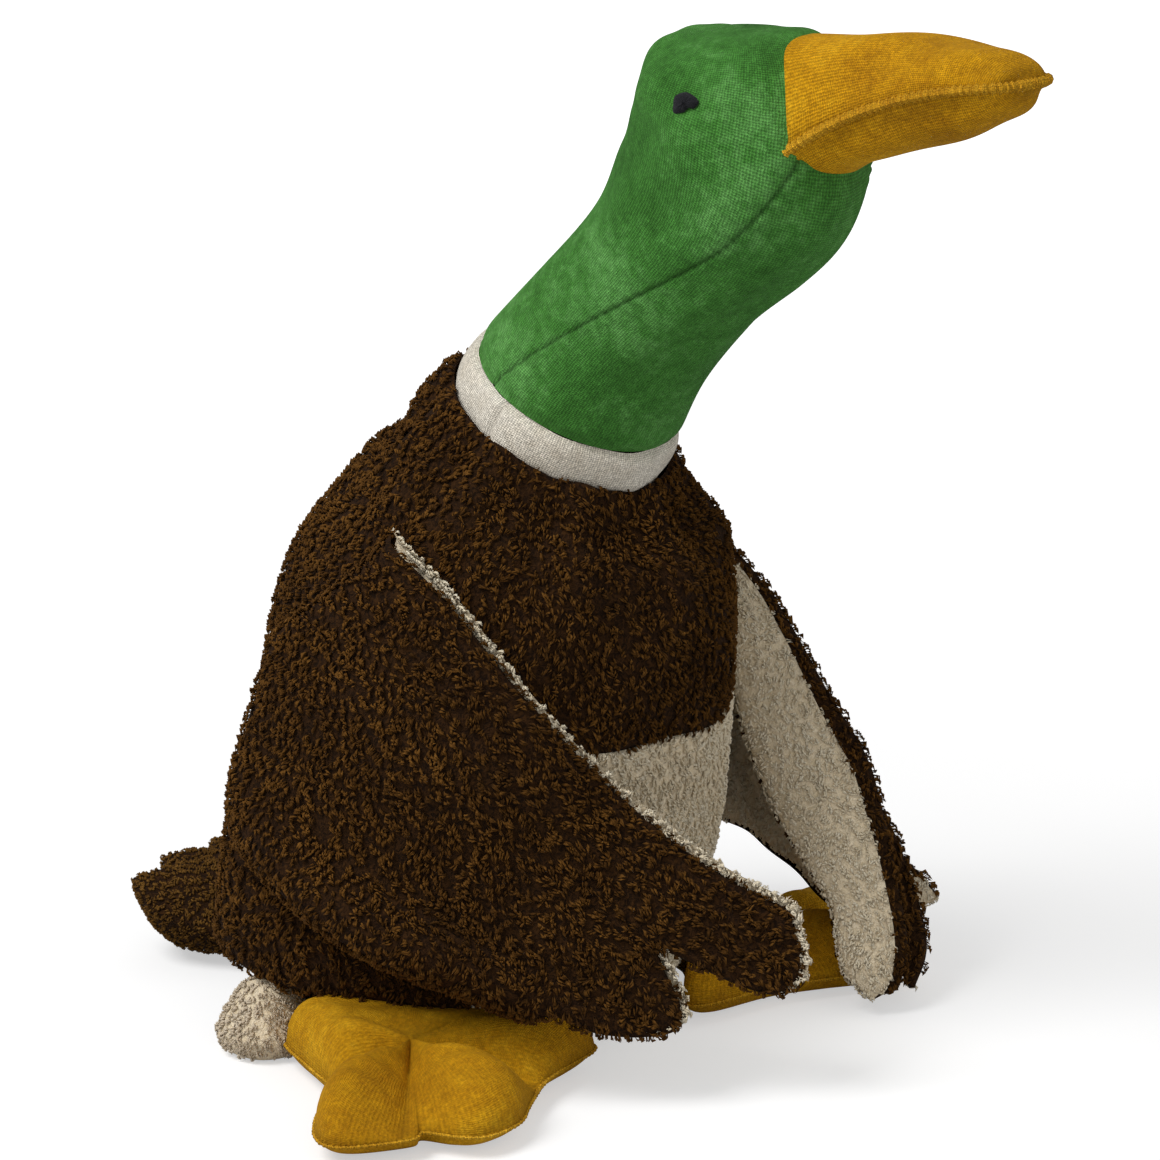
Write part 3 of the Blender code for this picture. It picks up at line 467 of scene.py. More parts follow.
# %% Fleece finishes
def lock_finish(name, dark, middle, light, painted_root_shade):
    """The tufts: shade by each tuft's own number and by broad patches, and painted shade that darkens each
    strand towards its root.
    """
    finish, tree, place = new_finish(name, 0.95, 0.25, light)
    own = sums(tree, "MULTIPLY", attribute(tree, "lock"), 0.55)
    mixed = sums(tree, "ADD", own, sums(tree, "MULTIPLY", noise(tree, place, 34, 3), 0.6))
    colour = ramp(tree, mixed, [(0.22, dark), (0.55, middle), (0.95, light)])
    # Painted shade: each strand's colour is multiplied down towards its foot, most where the root number is
    # low.
    stops = [(0.0, grey(painted_root_shade)), (0.6, grey(0.9)), (1.0, grey(1))]
    root = ramp(tree, attribute(tree, "tip"), stops)
    return dyed(finish, tint_by(tree, 1.0, colour, root), noise(tree, place, 2600, 2), 0.0004, 0.6)


def ground_finish(name, dark, middle):
    """The knitted ground under the tufts: curly noise that is mostly at its dark colour. The brown ground's
    colours are painted shade, nearly black like the shade between tufts.
    """
    finish, tree, place = new_finish(name, 1.0, 0.1, middle)
    curl = noise(tree, place, 420, 3, 1.5)
    return dyed(finish, ramp(tree, curl, [(0.38, dark), (0.68, middle)]), curl, 0.0015)


BROWN_LOCKS = lock_finish(
    "brown_fleece_locks", (0.028, 0.011, 0.001), (0.082, 0.033, 0.004), (0.205, 0.090, 0.015), 0.30)
# The tail's locks are a lighter copy of the brown locks with less root darkening: painted light on the same
# brown fleece, which the body shades.
TAIL_PAINTED_LIGHT_LOCKS = lock_finish(
    "brown_tail_locks_painted_light", (0.060, 0.026, 0.003), (0.130, 0.060, 0.010), (0.240, 0.118, 0.022), 0.50)
CREAM_LOCKS = lock_finish(
    "cream_fleece_locks", (0.80, 0.67, 0.47), (0.90, 0.79, 0.59), (0.96, 0.88, 0.71), 0.90)
# The legs' locks are a darker copy of the cream locks: painted shade on the same cream fleece.
LEG_PAINTED_SHADE_LOCKS = lock_finish(
    "cream_leg_locks_painted_shade", (0.60, 0.48, 0.33), (0.70, 0.58, 0.43), (0.79, 0.69, 0.54), 0.80)
# The brown ground is painted nearly black: painted shade between the tufts.
BROWN_GROUND_PAINTED_SHADE = ground_finish("brown_fleece_ground_painted_shade", (0.010, 0.004, 0.001), (0.045, 0.018, 0.004))
CREAM_GROUND = ground_finish("cream_fleece_ground", (0.76, 0.63, 0.43), (0.88, 0.76, 0.57))

# %% Velour finishes
RIB_PITCH = 0.00115
# A wave texture draws this many bands in a metre for each unit of its scale.
BANDS_PER_SCALE = 3.18


def velour_finish(name, dark, middle, light, seam=0.5, knit_share=1.0):
    """Knitted velour: broken rows of stitches on the cloth's UV map, as strong as the knit share
    says, brushed patches that are lighter or darker, and painted shade in the seam grooves, which darkens
    them to a grey."""
    finish, tree, place = new_finish(name, 0.9, 0.32, light)
    cloth = add_node(tree, "ShaderNodeUVMap", uv_map="cloth")[0]
    rows = []
    for direction, pitch in (("X", RIB_PITCH), ("Y", RIB_PITCH * 0.8)):
        inputs = {"Vector": cloth, "Scale": 1 / pitch / BANDS_PER_SCALE, "Distortion": 3.0}
        inputs.update({"Detail": 2, "Detail Scale": 1.6})
        settings = {"wave_type": "BANDS", "bands_direction": direction}
        rows.append(add_node(tree, "ShaderNodeTexWave", inputs, **settings)["Fac"])
    nap = noise(tree, place, 1300, 3)
    knit = sums(tree, "MULTIPLY", sums(tree, "ADD", *rows), nap)
    broad = sums(tree, "MULTIPLY", noise(tree, place, 17, 3, 0.2), 0.65)
    brushed = sums(tree, "MULTIPLY", noise(tree, place, 190, 4, 0.3), 0.35)
    tone = sums(tree, "ADD", broad, brushed)
    colour = ramp(tree, tone, [(0.33, dark), (0.50, middle), (0.67, light)])
    stitches = ramp(tree, knit, [(0.15, grey(0.62)), (0.55, grey(1.0)), (0.9, grey(1.4))])
    colour = tint_by(tree, knit_share, colour, stitches)
    speck = ramp(tree, noise(tree, place, 620, 2), [(0.35, grey(0.76)), (0.65, grey(1.24))])
    colour = tint_by(tree, 0.7, colour, speck)
    # Painted shade: the groove mark darkens the seam grooves towards the seam grey.
    colour = tint_by(tree, attribute(tree, "groove"), colour, (*grey(seam), 1))
    return dyed(finish, colour, sums(tree, "ADD", knit, nap), 0.0005, 0.8)


GREEN_VELOUR = velour_finish(
    "green_velour_ribs", (0.022, 0.100, 0.010), (0.050, 0.190, 0.028), (0.125, 0.340, 0.085))
CREAM_VELOUR = velour_finish(
    "cream_velour_ribs", (0.62, 0.55, 0.44), (0.74, 0.68, 0.57), (0.82, 0.77, 0.67), seam=0.8)
MUSTARD_VELOUR = velour_finish(
    "mustard_velour_ribs", (0.38, 0.165, 0.002), (0.56, 0.270, 0.004), (0.74, 0.40, 0.012))
FOOT_VELOUR = velour_finish(
    "mustard_foot_velour", (0.36, 0.155, 0.002), (0.52, 0.250, 0.004), (0.70, 0.38, 0.012), knit_share=0.4)
MUSTARD_THREAD = velour_finish(
    "mustard_overlock", (0.44, 0.20, 0.008), (0.58, 0.30, 0.014), (0.74, 0.42, 0.03))

# %% [markdown]
# ## The body
# The body is one egg-shaped bag, wide at the seat and drawn in under the collar. Its cream bib
# meets the brown breast along a curved hem, so the grid has a row that follows the hem and the
# two cloths are cut from the same surface there. Shallow folds run down from the collar.

# %% Body surface
BODY_HEIGHT, BODY_DEPTH, BODY_WIDTH, SHOULDER_DIP = 0.250, 0.206, 0.214, 0.014
COLLAR_LEAN, COLLAR_RADIUS, COLLAR_HEIGHT = radians(30), 0.049, 0.026
BOWL_RADIUS, RIM_LATITUDE, RIM_RADIUS = 0.0498, radians(24), 0.050
FLOOR_GAP, SEAM_FOLD, LIP_RISE, LIP_OUT = 0.0005, 0.004, 0.0075, 0.0020
HEM_SIDE, HEM_DROP, NAPE_DIP, SHOULDER_CREASE = 0.715, 0.13, 0.009, 0.004
BODY_SHARES = [
    (0.000, 0.000, 0.00, 0.300, 0.310),
    (0.000, 0.035, 0.00, 0.385, 0.390),
    (0.000, 0.110, 0.00, 0.450, 0.455),
    (0.000, 0.230, 0.00, 0.487, 0.487),
    (0.015, 0.370, 0.05, 0.500, 0.500),
    (0.040, 0.510, 0.15, 0.500, 0.495),
    (0.070, 0.650, 0.22, 0.500, 0.490),
    (0.105, 0.780, 0.38, 0.482, 0.472),
    (0.138, 0.900, 0.52, 0.447, 0.440),
    (0.182, 1.000, 0.70, 0.385, 0.372),
]
COLLAR_AXIS = np.array([0, -sin(COLLAR_LEAN), cos(COLLAR_LEAN)])
COLLAR_FORWARD = np.array([0, -cos(COLLAR_LEAN), -sin(COLLAR_LEAN)])
RIM_CENTRE = np.array([0, -BODY_DEPTH * 0.223, BODY_HEIGHT * 1.088])
PIVOT = RIM_CENTRE + COLLAR_AXIS * BOWL_RADIUS * sin(RIM_LATITUDE)
COLLAR_TOP = RIM_CENTRE + COLLAR_AXIS * COLLAR_HEIGHT

body_rows = np.array(BODY_SHARES) * [BODY_DEPTH, BODY_HEIGHT, COLLAR_LEAN, BODY_DEPTH, BODY_WIDTH]
rim_row = [-RIM_CENTRE[1], RIM_CENTRE[2], COLLAR_LEAN, RIM_RADIUS, RIM_RADIUS]
body_rows = np.vstack([body_rows, rim_row])
body_rings = spine_surface(body_rows)


def from_front(turn):
    """How far a turn is from the front, from 0 to pi."""
    return np.abs(np.angle(np.exp(1j * turn)))


def body_surface(turn, share):
    """The body's rings, hollowed behind both shoulders by a bell-shaped dip."""
    around = from_front(turn)
    dip = SHOULDER_DIP * bump_at(around, radians(142), radians(35)) * bump_at(share, 0.87, 0.10)
    dip = dip * np.clip((1 - share) / 0.13, 0, 1)
    ring = body_rings(turn, share)
    return ring - dip[..., None] * unit(ring - body_rings(turn + pi, share))


def hem_share(turn):
    """The bib's hem: low and level in front, a little to the right, and high at the sides. Its
    weight is w squared times (3 - 2w), with w from the turn's cosine."""
    weight = np.clip((np.cos(turn + 0.25) - 0.4) / 0.5, 0, 1)
    return HEM_SIDE - HEM_DROP * weight ** 2 * (3 - 2 * weight)


def body_folds(turn, share):
    """How far the cloth stands off: soft lumps of wadding, slack folds under the collar, a dip
    under the nape and a crease behind each shoulder."""
    around = from_front(turn)
    wave = np.sin(7 * turn + 9 * share) * 0.0016 + np.sin(11 * turn - 14 * share + 1.3) * 0.0010
    slack = bump_at(share, 0.93, 0.10) * (np.sin(9 * turn + 0.8) * 0.0022 + np.sin(17 * turn) * 0.0010)
    nape = -NAPE_DIP * bump_at(around, radians(165), 0.55) * bump_at(share, 0.91, 0.035)
    crease = -SHOULDER_CREASE * bump_at(around, radians(112), 0.13) * bump_at(share, 0.87, 0.09)
    return wave * np.sin(pi * share) + slack + nape + crease


def body_grid(first, last, low, high, rows):
    """A patch of the body between two turns and two heights given as parts of its hem: 0 is the
    seat, 1 is the hem and 2 is the collar, where the cloth rises in a lip."""
    turn, part = np.meshgrid(np.linspace(first, last, 120), np.linspace(low, high, rows))
    hem = hem_share(turn)
    share = np.where(part < 1, part * hem, hem + (part - 1) * (1 - hem))
    out = outward(body_surface, turn, share)
    grid = body_surface(turn, share) + out * body_folds(turn, share)[..., None]
    grid += bump_at(share, 1, 0.035)[..., None] * (LIP_RISE * COLLAR_AXIS + LIP_OUT * out)
    grid[..., 2] = np.maximum(grid[..., 2], FLOOR_GAP)
    return grid


def tuck(grid, bottom=True):
    """Adds a row at the top, and one at the bottom, that is folded inwards as at a seam."""
    middle = grid.reshape(-1, 3).mean(0)

    def fold(row, beside):
        return (row + unit(middle - row) * SEAM_FOLD + (beside - row) * 0.2)[None]

    below = [fold(grid[0], grid[1])] if bottom else []
    return np.concatenate([*below, grid, fold(grid[-1], grid[-2])])


# %% Body cloths and pile
def above(height):
    """A test that keeps the pile's feet over a height."""
    return lambda feet: feet[:, 2] > height


back_cloth = body_grid(pi / 2, 3 * pi / 2, 0, 2, 130)
chest_cloth = body_grid(-pi / 2, pi / 2, 1, 2, 66)
bib_cloth = body_grid(-pi / 2, pi / 2, 0, 1, 60)

back = grid_piece("back_cloth", tuck(back_cloth, bottom=False), BROWN_GROUND_PAINTED_SHADE)
chest = grid_piece("chest_cloth", tuck(chest_cloth), BROWN_GROUND_PAINTED_SHADE)
bib = grid_piece("bib_cloth", tuck(bib_cloth, bottom=False), CREAM_GROUND)
off_floor = above(0.004)
back_low_pile = pile_piece("back_low_pile", [back_cloth[:62]], BROWN_LOCKS, 1, keep=off_floor, parted=True)
back_high_pile = pile_piece("back_high_pile", [back_cloth[61:]], BROWN_LOCKS, 4, parted=True)
chest_pile = pile_piece("chest_pile", [chest_cloth], BROWN_LOCKS, 2, parted=True)
bib_pile = pile_piece("bib_pile", [bib_cloth], CREAM_LOCKS, 3, keep=off_floor, **CREAM_PILE)

turn = np.linspace(0, 2 * pi, 61)
seat_rim = body_surface(turn, np.zeros_like(turn)) * [1, 1, 0] + [0, 0, FLOOR_GAP]
levels = np.linspace(0, 1, 12)[:, None, None]
seat = grid_piece("seat_cloth", seat_rim * (1 - levels), CREAM_GROUND)
seat.data.flip_normals()

for cloth, piles, slot_name, replaced in (
    (back, [back_low_pile, back_high_pile], "brown_fleece", ["back_panel", "torso_filling"]),
    (chest, [chest_pile], "brown_fleece", ["chest_panel"]),
    (bib, [bib_pile], "cream_fleece", ["belly_panel"]),
    (seat, [], "cream_fleece", ["seat_panel"]),
):
    for piece in (cloth, *piles):
        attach(piece, "torso")
    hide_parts(*replaced)

# %% [markdown]
# ## Collar, head and neck
# The collar is a plain band of velour. The head and neck are one bent tube that swells to the
# head: two panels sewn down both sides. The seam starts at the beak's corner, runs back along
# the neck and ends at the collar, and it draws the cloth in to a groove with small puckers.

# %% Collar
turn, share = np.meshgrid(np.linspace(0, 2 * pi, 181), np.linspace(0, 1, 26))
base_height = -BOWL_RADIUS * sin(RIM_LATITUDE) * 1.3
top_height = np.dot(COLLAR_TOP - PIVOT, COLLAR_AXIS)
rise = base_height + (top_height - base_height) * share
radius = COLLAR_RADIUS * (1 - 0.075 * (1 - share) ** 2) + 0.0022 * np.sin(pi * share)
radius += 0.0008 * np.sin(5 * turn + 2) * np.sin(pi * share) + 0.0006 * np.sin(9 * turn + 4 * share)
radius -= 0.0030 * (bump_at(share, 0, 0.06) + bump_at(share, 1, 0.05))
spoke = np.cos(turn)[..., None] * COLLAR_FORWARD + np.sin(turn)[..., None] * np.array([1, 0, 0])
collar_cloth = PIVOT + rise[..., None] * COLLAR_AXIS + radius[..., None] * spoke
side_seam = sum(bump_at(turn, radians(place), 0.035) for place in (90, 270))
collar_cloth -= spoke * (side_seam * 0.0016)[..., None]
# The groove mark is painted shade along the drawn-in side seams.
collar = grid_piece("collar_cloth", collar_cloth, CREAM_VELOUR, [("groove", 0.6 * side_seam)])
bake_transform(collar)
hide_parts("collar_band", "neck_filling")

# %% Head and neck
HEAD_LENGTH, HEAD_DEPTH, HEAD_WIDTH = 0.200, 0.100, 0.096
HEAD_SHARES = [
    (0.135, 0.160, 1.27, 0.430, 0.440),
    (0.295, 0.310, 1.43, 0.420, 0.430),
    (0.400, 0.430, 1.36, 0.480, 0.450),
    (0.455, 0.540, 1.08, 0.550, 0.500),
    (0.470, 0.640, 0.67, 0.545, 0.500),
    (0.480, 0.730, 0.27, 0.455, 0.430),
    (0.475, 0.790, 0.00, 0.310, 0.300),
    (0.470, 0.815, 0.00, 0.120, 0.110),
]
HEAD_SEAM_TURNS = (105, 97, 87, 78, 69, 62, 55, 49, 41, 32, 27)
HEAD_SEAM_END, SEAM_DEPTH, EYE_DIP = 0.70, 0.0013, 0.0013
CROWN_RISE, CORNER_RISE, POLL_HOLLOW, NAPE_RISE, THROAT_DIP = 0.0030, 0.0055, 0.0050, 0.0068, 0.0035

first = COLLAR_TOP + COLLAR_AXIS * 0.0005
head_rows = np.array(HEAD_SHARES) * [HEAD_LENGTH, HEAD_LENGTH, COLLAR_LEAN, HEAD_DEPTH, HEAD_WIDTH]
head_rows[:, 0] -= first[1]
head_rows[:, 1] += first[2]
start_row = [-first[1], first[2], COLLAR_LEAN, COLLAR_RADIUS - 0.0005, COLLAR_RADIUS - 0.0005]
head_rows = np.vstack([start_row, head_rows])
head_surface = spine_surface(head_rows)
POLL, CROWN_CORNER = head_surface(np.array([pi, pi]), np.array([0.64, 0.85]))


def head_relief(turn, share):
    """The seam groove, and how far the velour stands off: puckers along both side seams, soft
    lumps, a dip round each eye, a raised crown with a fuller corner at its back, a hollow poll
    behind it, a fuller nape, a throat leaner on its left and a draw-in at the collar."""
    seam_turn = np.radians(numbers_at(HEAD_SEAM_TURNS, share / HEAD_SEAM_END))
    beside = np.abs(np.abs(turn) - seam_turn) * 0.045
    fade = 1 / (1 + np.exp((share - HEAD_SEAM_END) * 60))
    groove = bump_at(beside, 0, 0.0009) * fade
    pucker = bump_at(beside, 0, 0.006) * fade * np.sin(share * 240 + 4 * np.sin(share * 31)) * 0.0005
    lumps = 0.0012 * np.sin(5 * turn + 8 * share) * np.sin(9 * share + 1)
    lumps += 0.0007 * np.sin(9 * turn - 17 * share)
    eye = bump_at(np.abs(turn), radians(90), 0.22) * bump_at(share, 0.685, 0.045)
    crown = CROWN_RISE * bump_at(share, 0.93, 0.06) * bump_at(turn, 0, 0.9)
    place = head_surface(turn, share)
    from_poll, from_corner = (
        np.linalg.norm((place - spot)[..., 1:], axis=-1) for spot in (POLL, CROWN_CORNER)
    )
    poll = CORNER_RISE * bump_at(from_corner, 0, 0.012) - POLL_HOLLOW * bump_at(from_poll, 0, 0.021)
    nape = NAPE_RISE * bump_at(share, 0.34, 0.11) * bump_at(np.abs(turn), pi, 1.2)
    throat = -THROAT_DIP * bump_at(share, 0.34, 0.17) * bump_at(turn, 0.7, 0.9)
    stand = pucker + lumps * np.sin(pi * np.clip(share, 0, 1)) - SEAM_DEPTH * groove - EYE_DIP * eye
    return groove, stand + crown + poll + nape + throat - 0.0022 * bump_at(share, 0, 0.012)


turn, share = np.meshgrid(np.linspace(-pi, pi, 241), np.linspace(0, 1, 260))
groove, stand = head_relief(turn, share)
head_cloth = head_surface(turn, share) + outward(head_surface, turn, share) * stand[..., None]
head_cloth = capped(head_cloth, [0, 0, 0.0006], 7)
groove = np.pad(groove, ((0, 7), (0, 0)))
# The groove mark is painted shade along the seam groove.
head = grid_piece("head_cloth", head_cloth, GREEN_VELOUR, [("groove", groove)])
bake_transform(head)
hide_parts("crown_panel", "throat_panel", "head_filling")

# %% [markdown]
# ## Eyes
# Each eye is a scrap of black felt, round above with a blunt tail below, and sewn flat. A level
# from its edge to its middle lifts it into a low dome, and its place is a turn and a share on
# the head.

# %% Eyes
EYE_LENGTH, EYE_HEIGHT, EYE_DOME, EYE_SHARE = 0.0125, 0.0105, 0.0016, 0.677
METRES_PER_TURN, METRES_PER_SHARE = 0.046, 0.215
EYE_SHARES = [
    (-0.46, 0.14), (-0.17, 0.56), (0.18, 0.56), (0.43, 0.33), (0.33, -0.07),
    (0.15, -0.13), (0.02, -0.45), (-0.30, -0.76), (-0.42, -0.38),
]
felt, tree, place = new_finish("black_felt_fibres", 0.9, 0.25, (0.3, 0.3, 0.35))
fibre = noise(tree, place, 1800, 4, 2.0)
stops = [(0.35, (0.0015, 0.0015, 0.002)), (0.75, (0.012, 0.012, 0.014))]
felt = dyed(felt, ramp(tree, fibre, stops), fibre, 0.0006)

for side, sign in (("right", -1), ("left", 1)):
    outline = closed_outline(EYE_SHARES, [EYE_LENGTH, EYE_HEIGHT], 48)
    outline = np.vstack([outline, outline[:1]])
    level = np.linspace(1, 0, 12)[:, None]
    turn = sign * radians(90) - sign * level * outline[:, 0] / METRES_PER_TURN
    share = EYE_SHARE + level * outline[:, 1] / METRES_PER_SHARE
    dome = EYE_DOME * (1 - level ** 4) - EYE_DOME
    ripple = 0.00025 * np.sin(outline[:, 0] * 2600) * (1 - level ** 2)
    eye_cloth = head_surface(turn, share)
    eye_cloth = eye_cloth + outward(head_surface, turn, share) * (dome + ripple + 0.0009)[..., None]
    eye = grid_piece(f"eye_{side}_felt", eye_cloth[:, ::sign], felt)
    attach(eye, "head")
    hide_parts(f"eye_{side}")

# %% [markdown]
# ## Beak
# The beak has an upper and a lower panel with their seam turned outwards: an overlocked ridge
# runs along both edges and round the tip. The ridge is a thin cord of lumps on the same curve.

# %% Beak surface
BEAK_LENGTH, BEAK_WIDTH, BEAK_HEIGHT = 0.138, 0.060, 0.070
BEAK_SAG, BEAK_PINCH, BEAK_LIP, BEAK_HOLLOW = 0.018, 0.16, 0.0015, 0.0022
BEAK_SHARES = [
    (-0.12, 0.02, 0.500, 0.615, 0.300),
    (0.14, 0.14, 0.490, 0.560, 0.370),
    (0.40, 0.33, 0.460, 0.420, 0.380),
    (0.65, 0.45, 0.440, 0.320, 0.330),
    (0.86, 0.52, 0.400, 0.220, 0.260),
    (0.97, 0.54, 0.300, 0.130, 0.160),
    (1.00, 0.54, 0.120, 0.036, 0.040),
]
seat_row = rows_at(head_rows, 0.62)
beak_rows = np.array(BEAK_SHARES) * [BEAK_LENGTH, BEAK_HEIGHT, BEAK_WIDTH, BEAK_HEIGHT, BEAK_HEIGHT]
beak_rows += [seat_row[0], seat_row[1] - BEAK_HEIGHT * 0.22, 0, 0, 0]


def beak_surface(turn, share):
    """Upright rings: a point is its seam height plus the rise or the drop times the turn's sine,
    and the half width times its cosine to the left, with a lip where the halves are sewn. The
    seam sags near the head, and the sides are pinched in there, most of all beside the seam."""
    forward, seam, half_width, rise, drop = np.moveaxis(rows_at(beak_rows, share), -1, 0)
    sag = BEAK_SAG * bump_at(share, 0.08, 0.30)
    seam, rise, drop = seam - sag, rise + sag, np.maximum(drop - sag, 0.004)
    upright = np.sin(turn)
    half_width = half_width * (1 - BEAK_PINCH * bump_at(share, 0, 0.20) * bump_at(upright, 0, 0.45))
    lift = np.where(upright > 0, rise * np.abs(upright) ** 0.85, -drop * np.abs(upright))
    squareness = 1 - 0.28 * np.clip(upright, 0, 1) ** 0.5
    level = np.sign(np.cos(turn)) * np.abs(np.cos(turn)) ** squareness
    lip = BEAK_LIP * np.cos(turn) ** 9
    return np.stack([half_width * level + lip, -forward, seam + lift], -1)


turn, share = np.meshgrid(np.linspace(0, 2 * pi, 161), np.linspace(0.0, 1, 150))
under = np.clip(-np.sin(turn), 0, 1)
hollow = bump_at(turn, radians(205), 0.32) + bump_at(turn, radians(335), 0.32)
stand = -BEAK_HOLLOW * hollow * np.sin(pi * share)
stand += 0.0008 * np.sin(21 * share + 3 * turn) * np.sin(pi * share)
stand -= 0.0016 * under * bump_at(share, 0.36, 0.05)
beak_cloth = beak_surface(turn, share) + outward(beak_surface, turn, share) * stand[..., None]
beak_cloth = capped(beak_cloth, [0, -0.0012, 0], 5)
groove = np.pad(0.8 * bump_at(np.sin(turn), 0, 0.10), ((0, 5), (0, 0)))
# The groove mark is painted shade beside the seam under the ridge.
beak = grid_piece("beak_cloth", beak_cloth, MUSTARD_VELOUR, [("groove", groove)])
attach(beak, "head")
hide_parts("beak_upper", "beak_lower", "beak_filling")


# %% Beak seam ridge
def ridge_cord(name, path, thickness, pitch, rows=10):
    """A lumpy cord along a path: its radius swells and narrows once per stitch."""
    length = run_lengths(step_lengths(path))
    steps = np.linspace(0, length[-1], int(length[-1] / pitch * 7))
    line = np.stack([np.interp(steps, length, path[:, k]) for k in range(3)], -1)
    ahead = unit(np.gradient(line, axis=0))
    side = unit(np.cross(ahead, [0, 0, 1]))
    above = np.cross(side, ahead)
    turn = np.linspace(0, 2 * pi, rows)[:, None]
    stitch = 2 * pi * steps / pitch
    radius = thickness / 2 * (1 + 0.24 * np.sin(stitch) + 0.14 * np.sin(2.7 * stitch + 1))
    radius *= np.clip(np.minimum(steps, length[-1] - steps) / thickness, 0.05, 1) ** 0.5
    wander = 0.00035 * np.sin(1.9 * stitch)[:, None]
    ring = np.cos(turn) * side[:, None] + np.sin(turn) * above[:, None]
    grid = line[:, None] + wander[:, None] * side[:, None] + radius[:, None, None] * ring
    return grid_piece(name, grid, MUSTARD_THREAD, [("groove", np.zeros(grid.shape[:2]))])


share = np.linspace(0.20, 1, 120)
left = beak_surface(np.zeros_like(share), share)
right = beak_surface(np.full_like(share, pi), share)
path = np.vstack([right, left[::-1]]) + [0, 0, 0.0006]
beak_ridge = ridge_cord("beak_seam_ridge", path, 0.0040, 0.0031)
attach(beak_ridge, "head")

# %% [markdown]
# ## Feet, legs and tail
# These are pads: an outline, swelled on both sides by a height that grows from the edge to the
# middle. Lines of stitching run in between the toes and draw the foot in along its webs.

# %% Pad surfaces
LEVELS = np.linspace(1, 0, 46) ** 1.15


def pad_grid(outline, centre, edge_height, top, bottom):
    """A closed pad: at each level from its edge 1 to its centre 0, the outline is drawn in to
    that part of itself, and the cloth stands above or below the edge's height there."""
    closed = np.vstack([outline, outline[:1]])
    halves = []
    for sign, stand in ((-1, bottom), (1, top)):
        rings = []
        for level in LEVELS:
            flat = centre + (closed - centre) * level
            height = edge_height(flat) + sign * stand(flat, level)
            rings.append(np.column_stack([flat, np.broadcast_to(height, len(flat))]))
        halves.append(np.array(rings))
    return faced_out(np.concatenate([halves[0][::-1], halves[1][1:]]))


FOOT_SHARES = [
    (0.020, 0.385), (0.167, 0.372), (0.333, 0.326), (0.467, 0.256), (0.573, 0.163), (0.660, 0.045),
    (0.733, 0.070), (0.787, 0.297), (0.880, 0.465), (0.960, 0.587), (0.967, 0.703), (0.913, 0.756),
    (0.807, 0.790), (0.820, 0.849), (0.713, 0.994), (0.607, 0.983), (0.473, 0.849), (0.400, 0.721),
    (0.200, 0.628), (0.010, 0.541), (-0.010, 0.471),
]
LEG_SHARES = [
    (0.00, 0.00), (0.10, 0.18), (0.35, 0.42), (0.70, 0.50), (0.95, 0.34),
    (1.02, 0.00), (0.95, -0.34), (0.70, -0.50), (0.35, -0.42), (0.10, -0.18),
]
FOOT_SIZE, FOOT_HEIGHT, EDGE_HEIGHT = np.array([0.150, 0.172]), 0.037, 0.010
LEG_LENGTH, LEG_WIDTH, LEG_HEIGHT, LEG_TURN = 0.051, 0.040, 0.034, radians(4)
VALLEYS = ((radians(-28), 0.95), (radians(50), 0.90), (radians(108), 0.55))
VALLEY_WIDTH, CREASE_WIDTH, STITCH_WIDTH = 0.36, 0.07, 0.03
hip_row = rows_at(body_rows, 0.135)


# %% Feet and legs
def edge(flat):
    """The seam round a foot or a leg lies level."""
    return EDGE_HEIGHT


def sole(flat, level):
    """Down from the seam to just over the floor, steeply at the edge."""
    return (EDGE_HEIGHT - 0.0004) * (1 - level ** 9)


def leg_top(flat, level):
    """Up from the seam to the leg's height."""
    return (LEG_HEIGHT - EDGE_HEIGHT) * (1 - level ** 2.5)


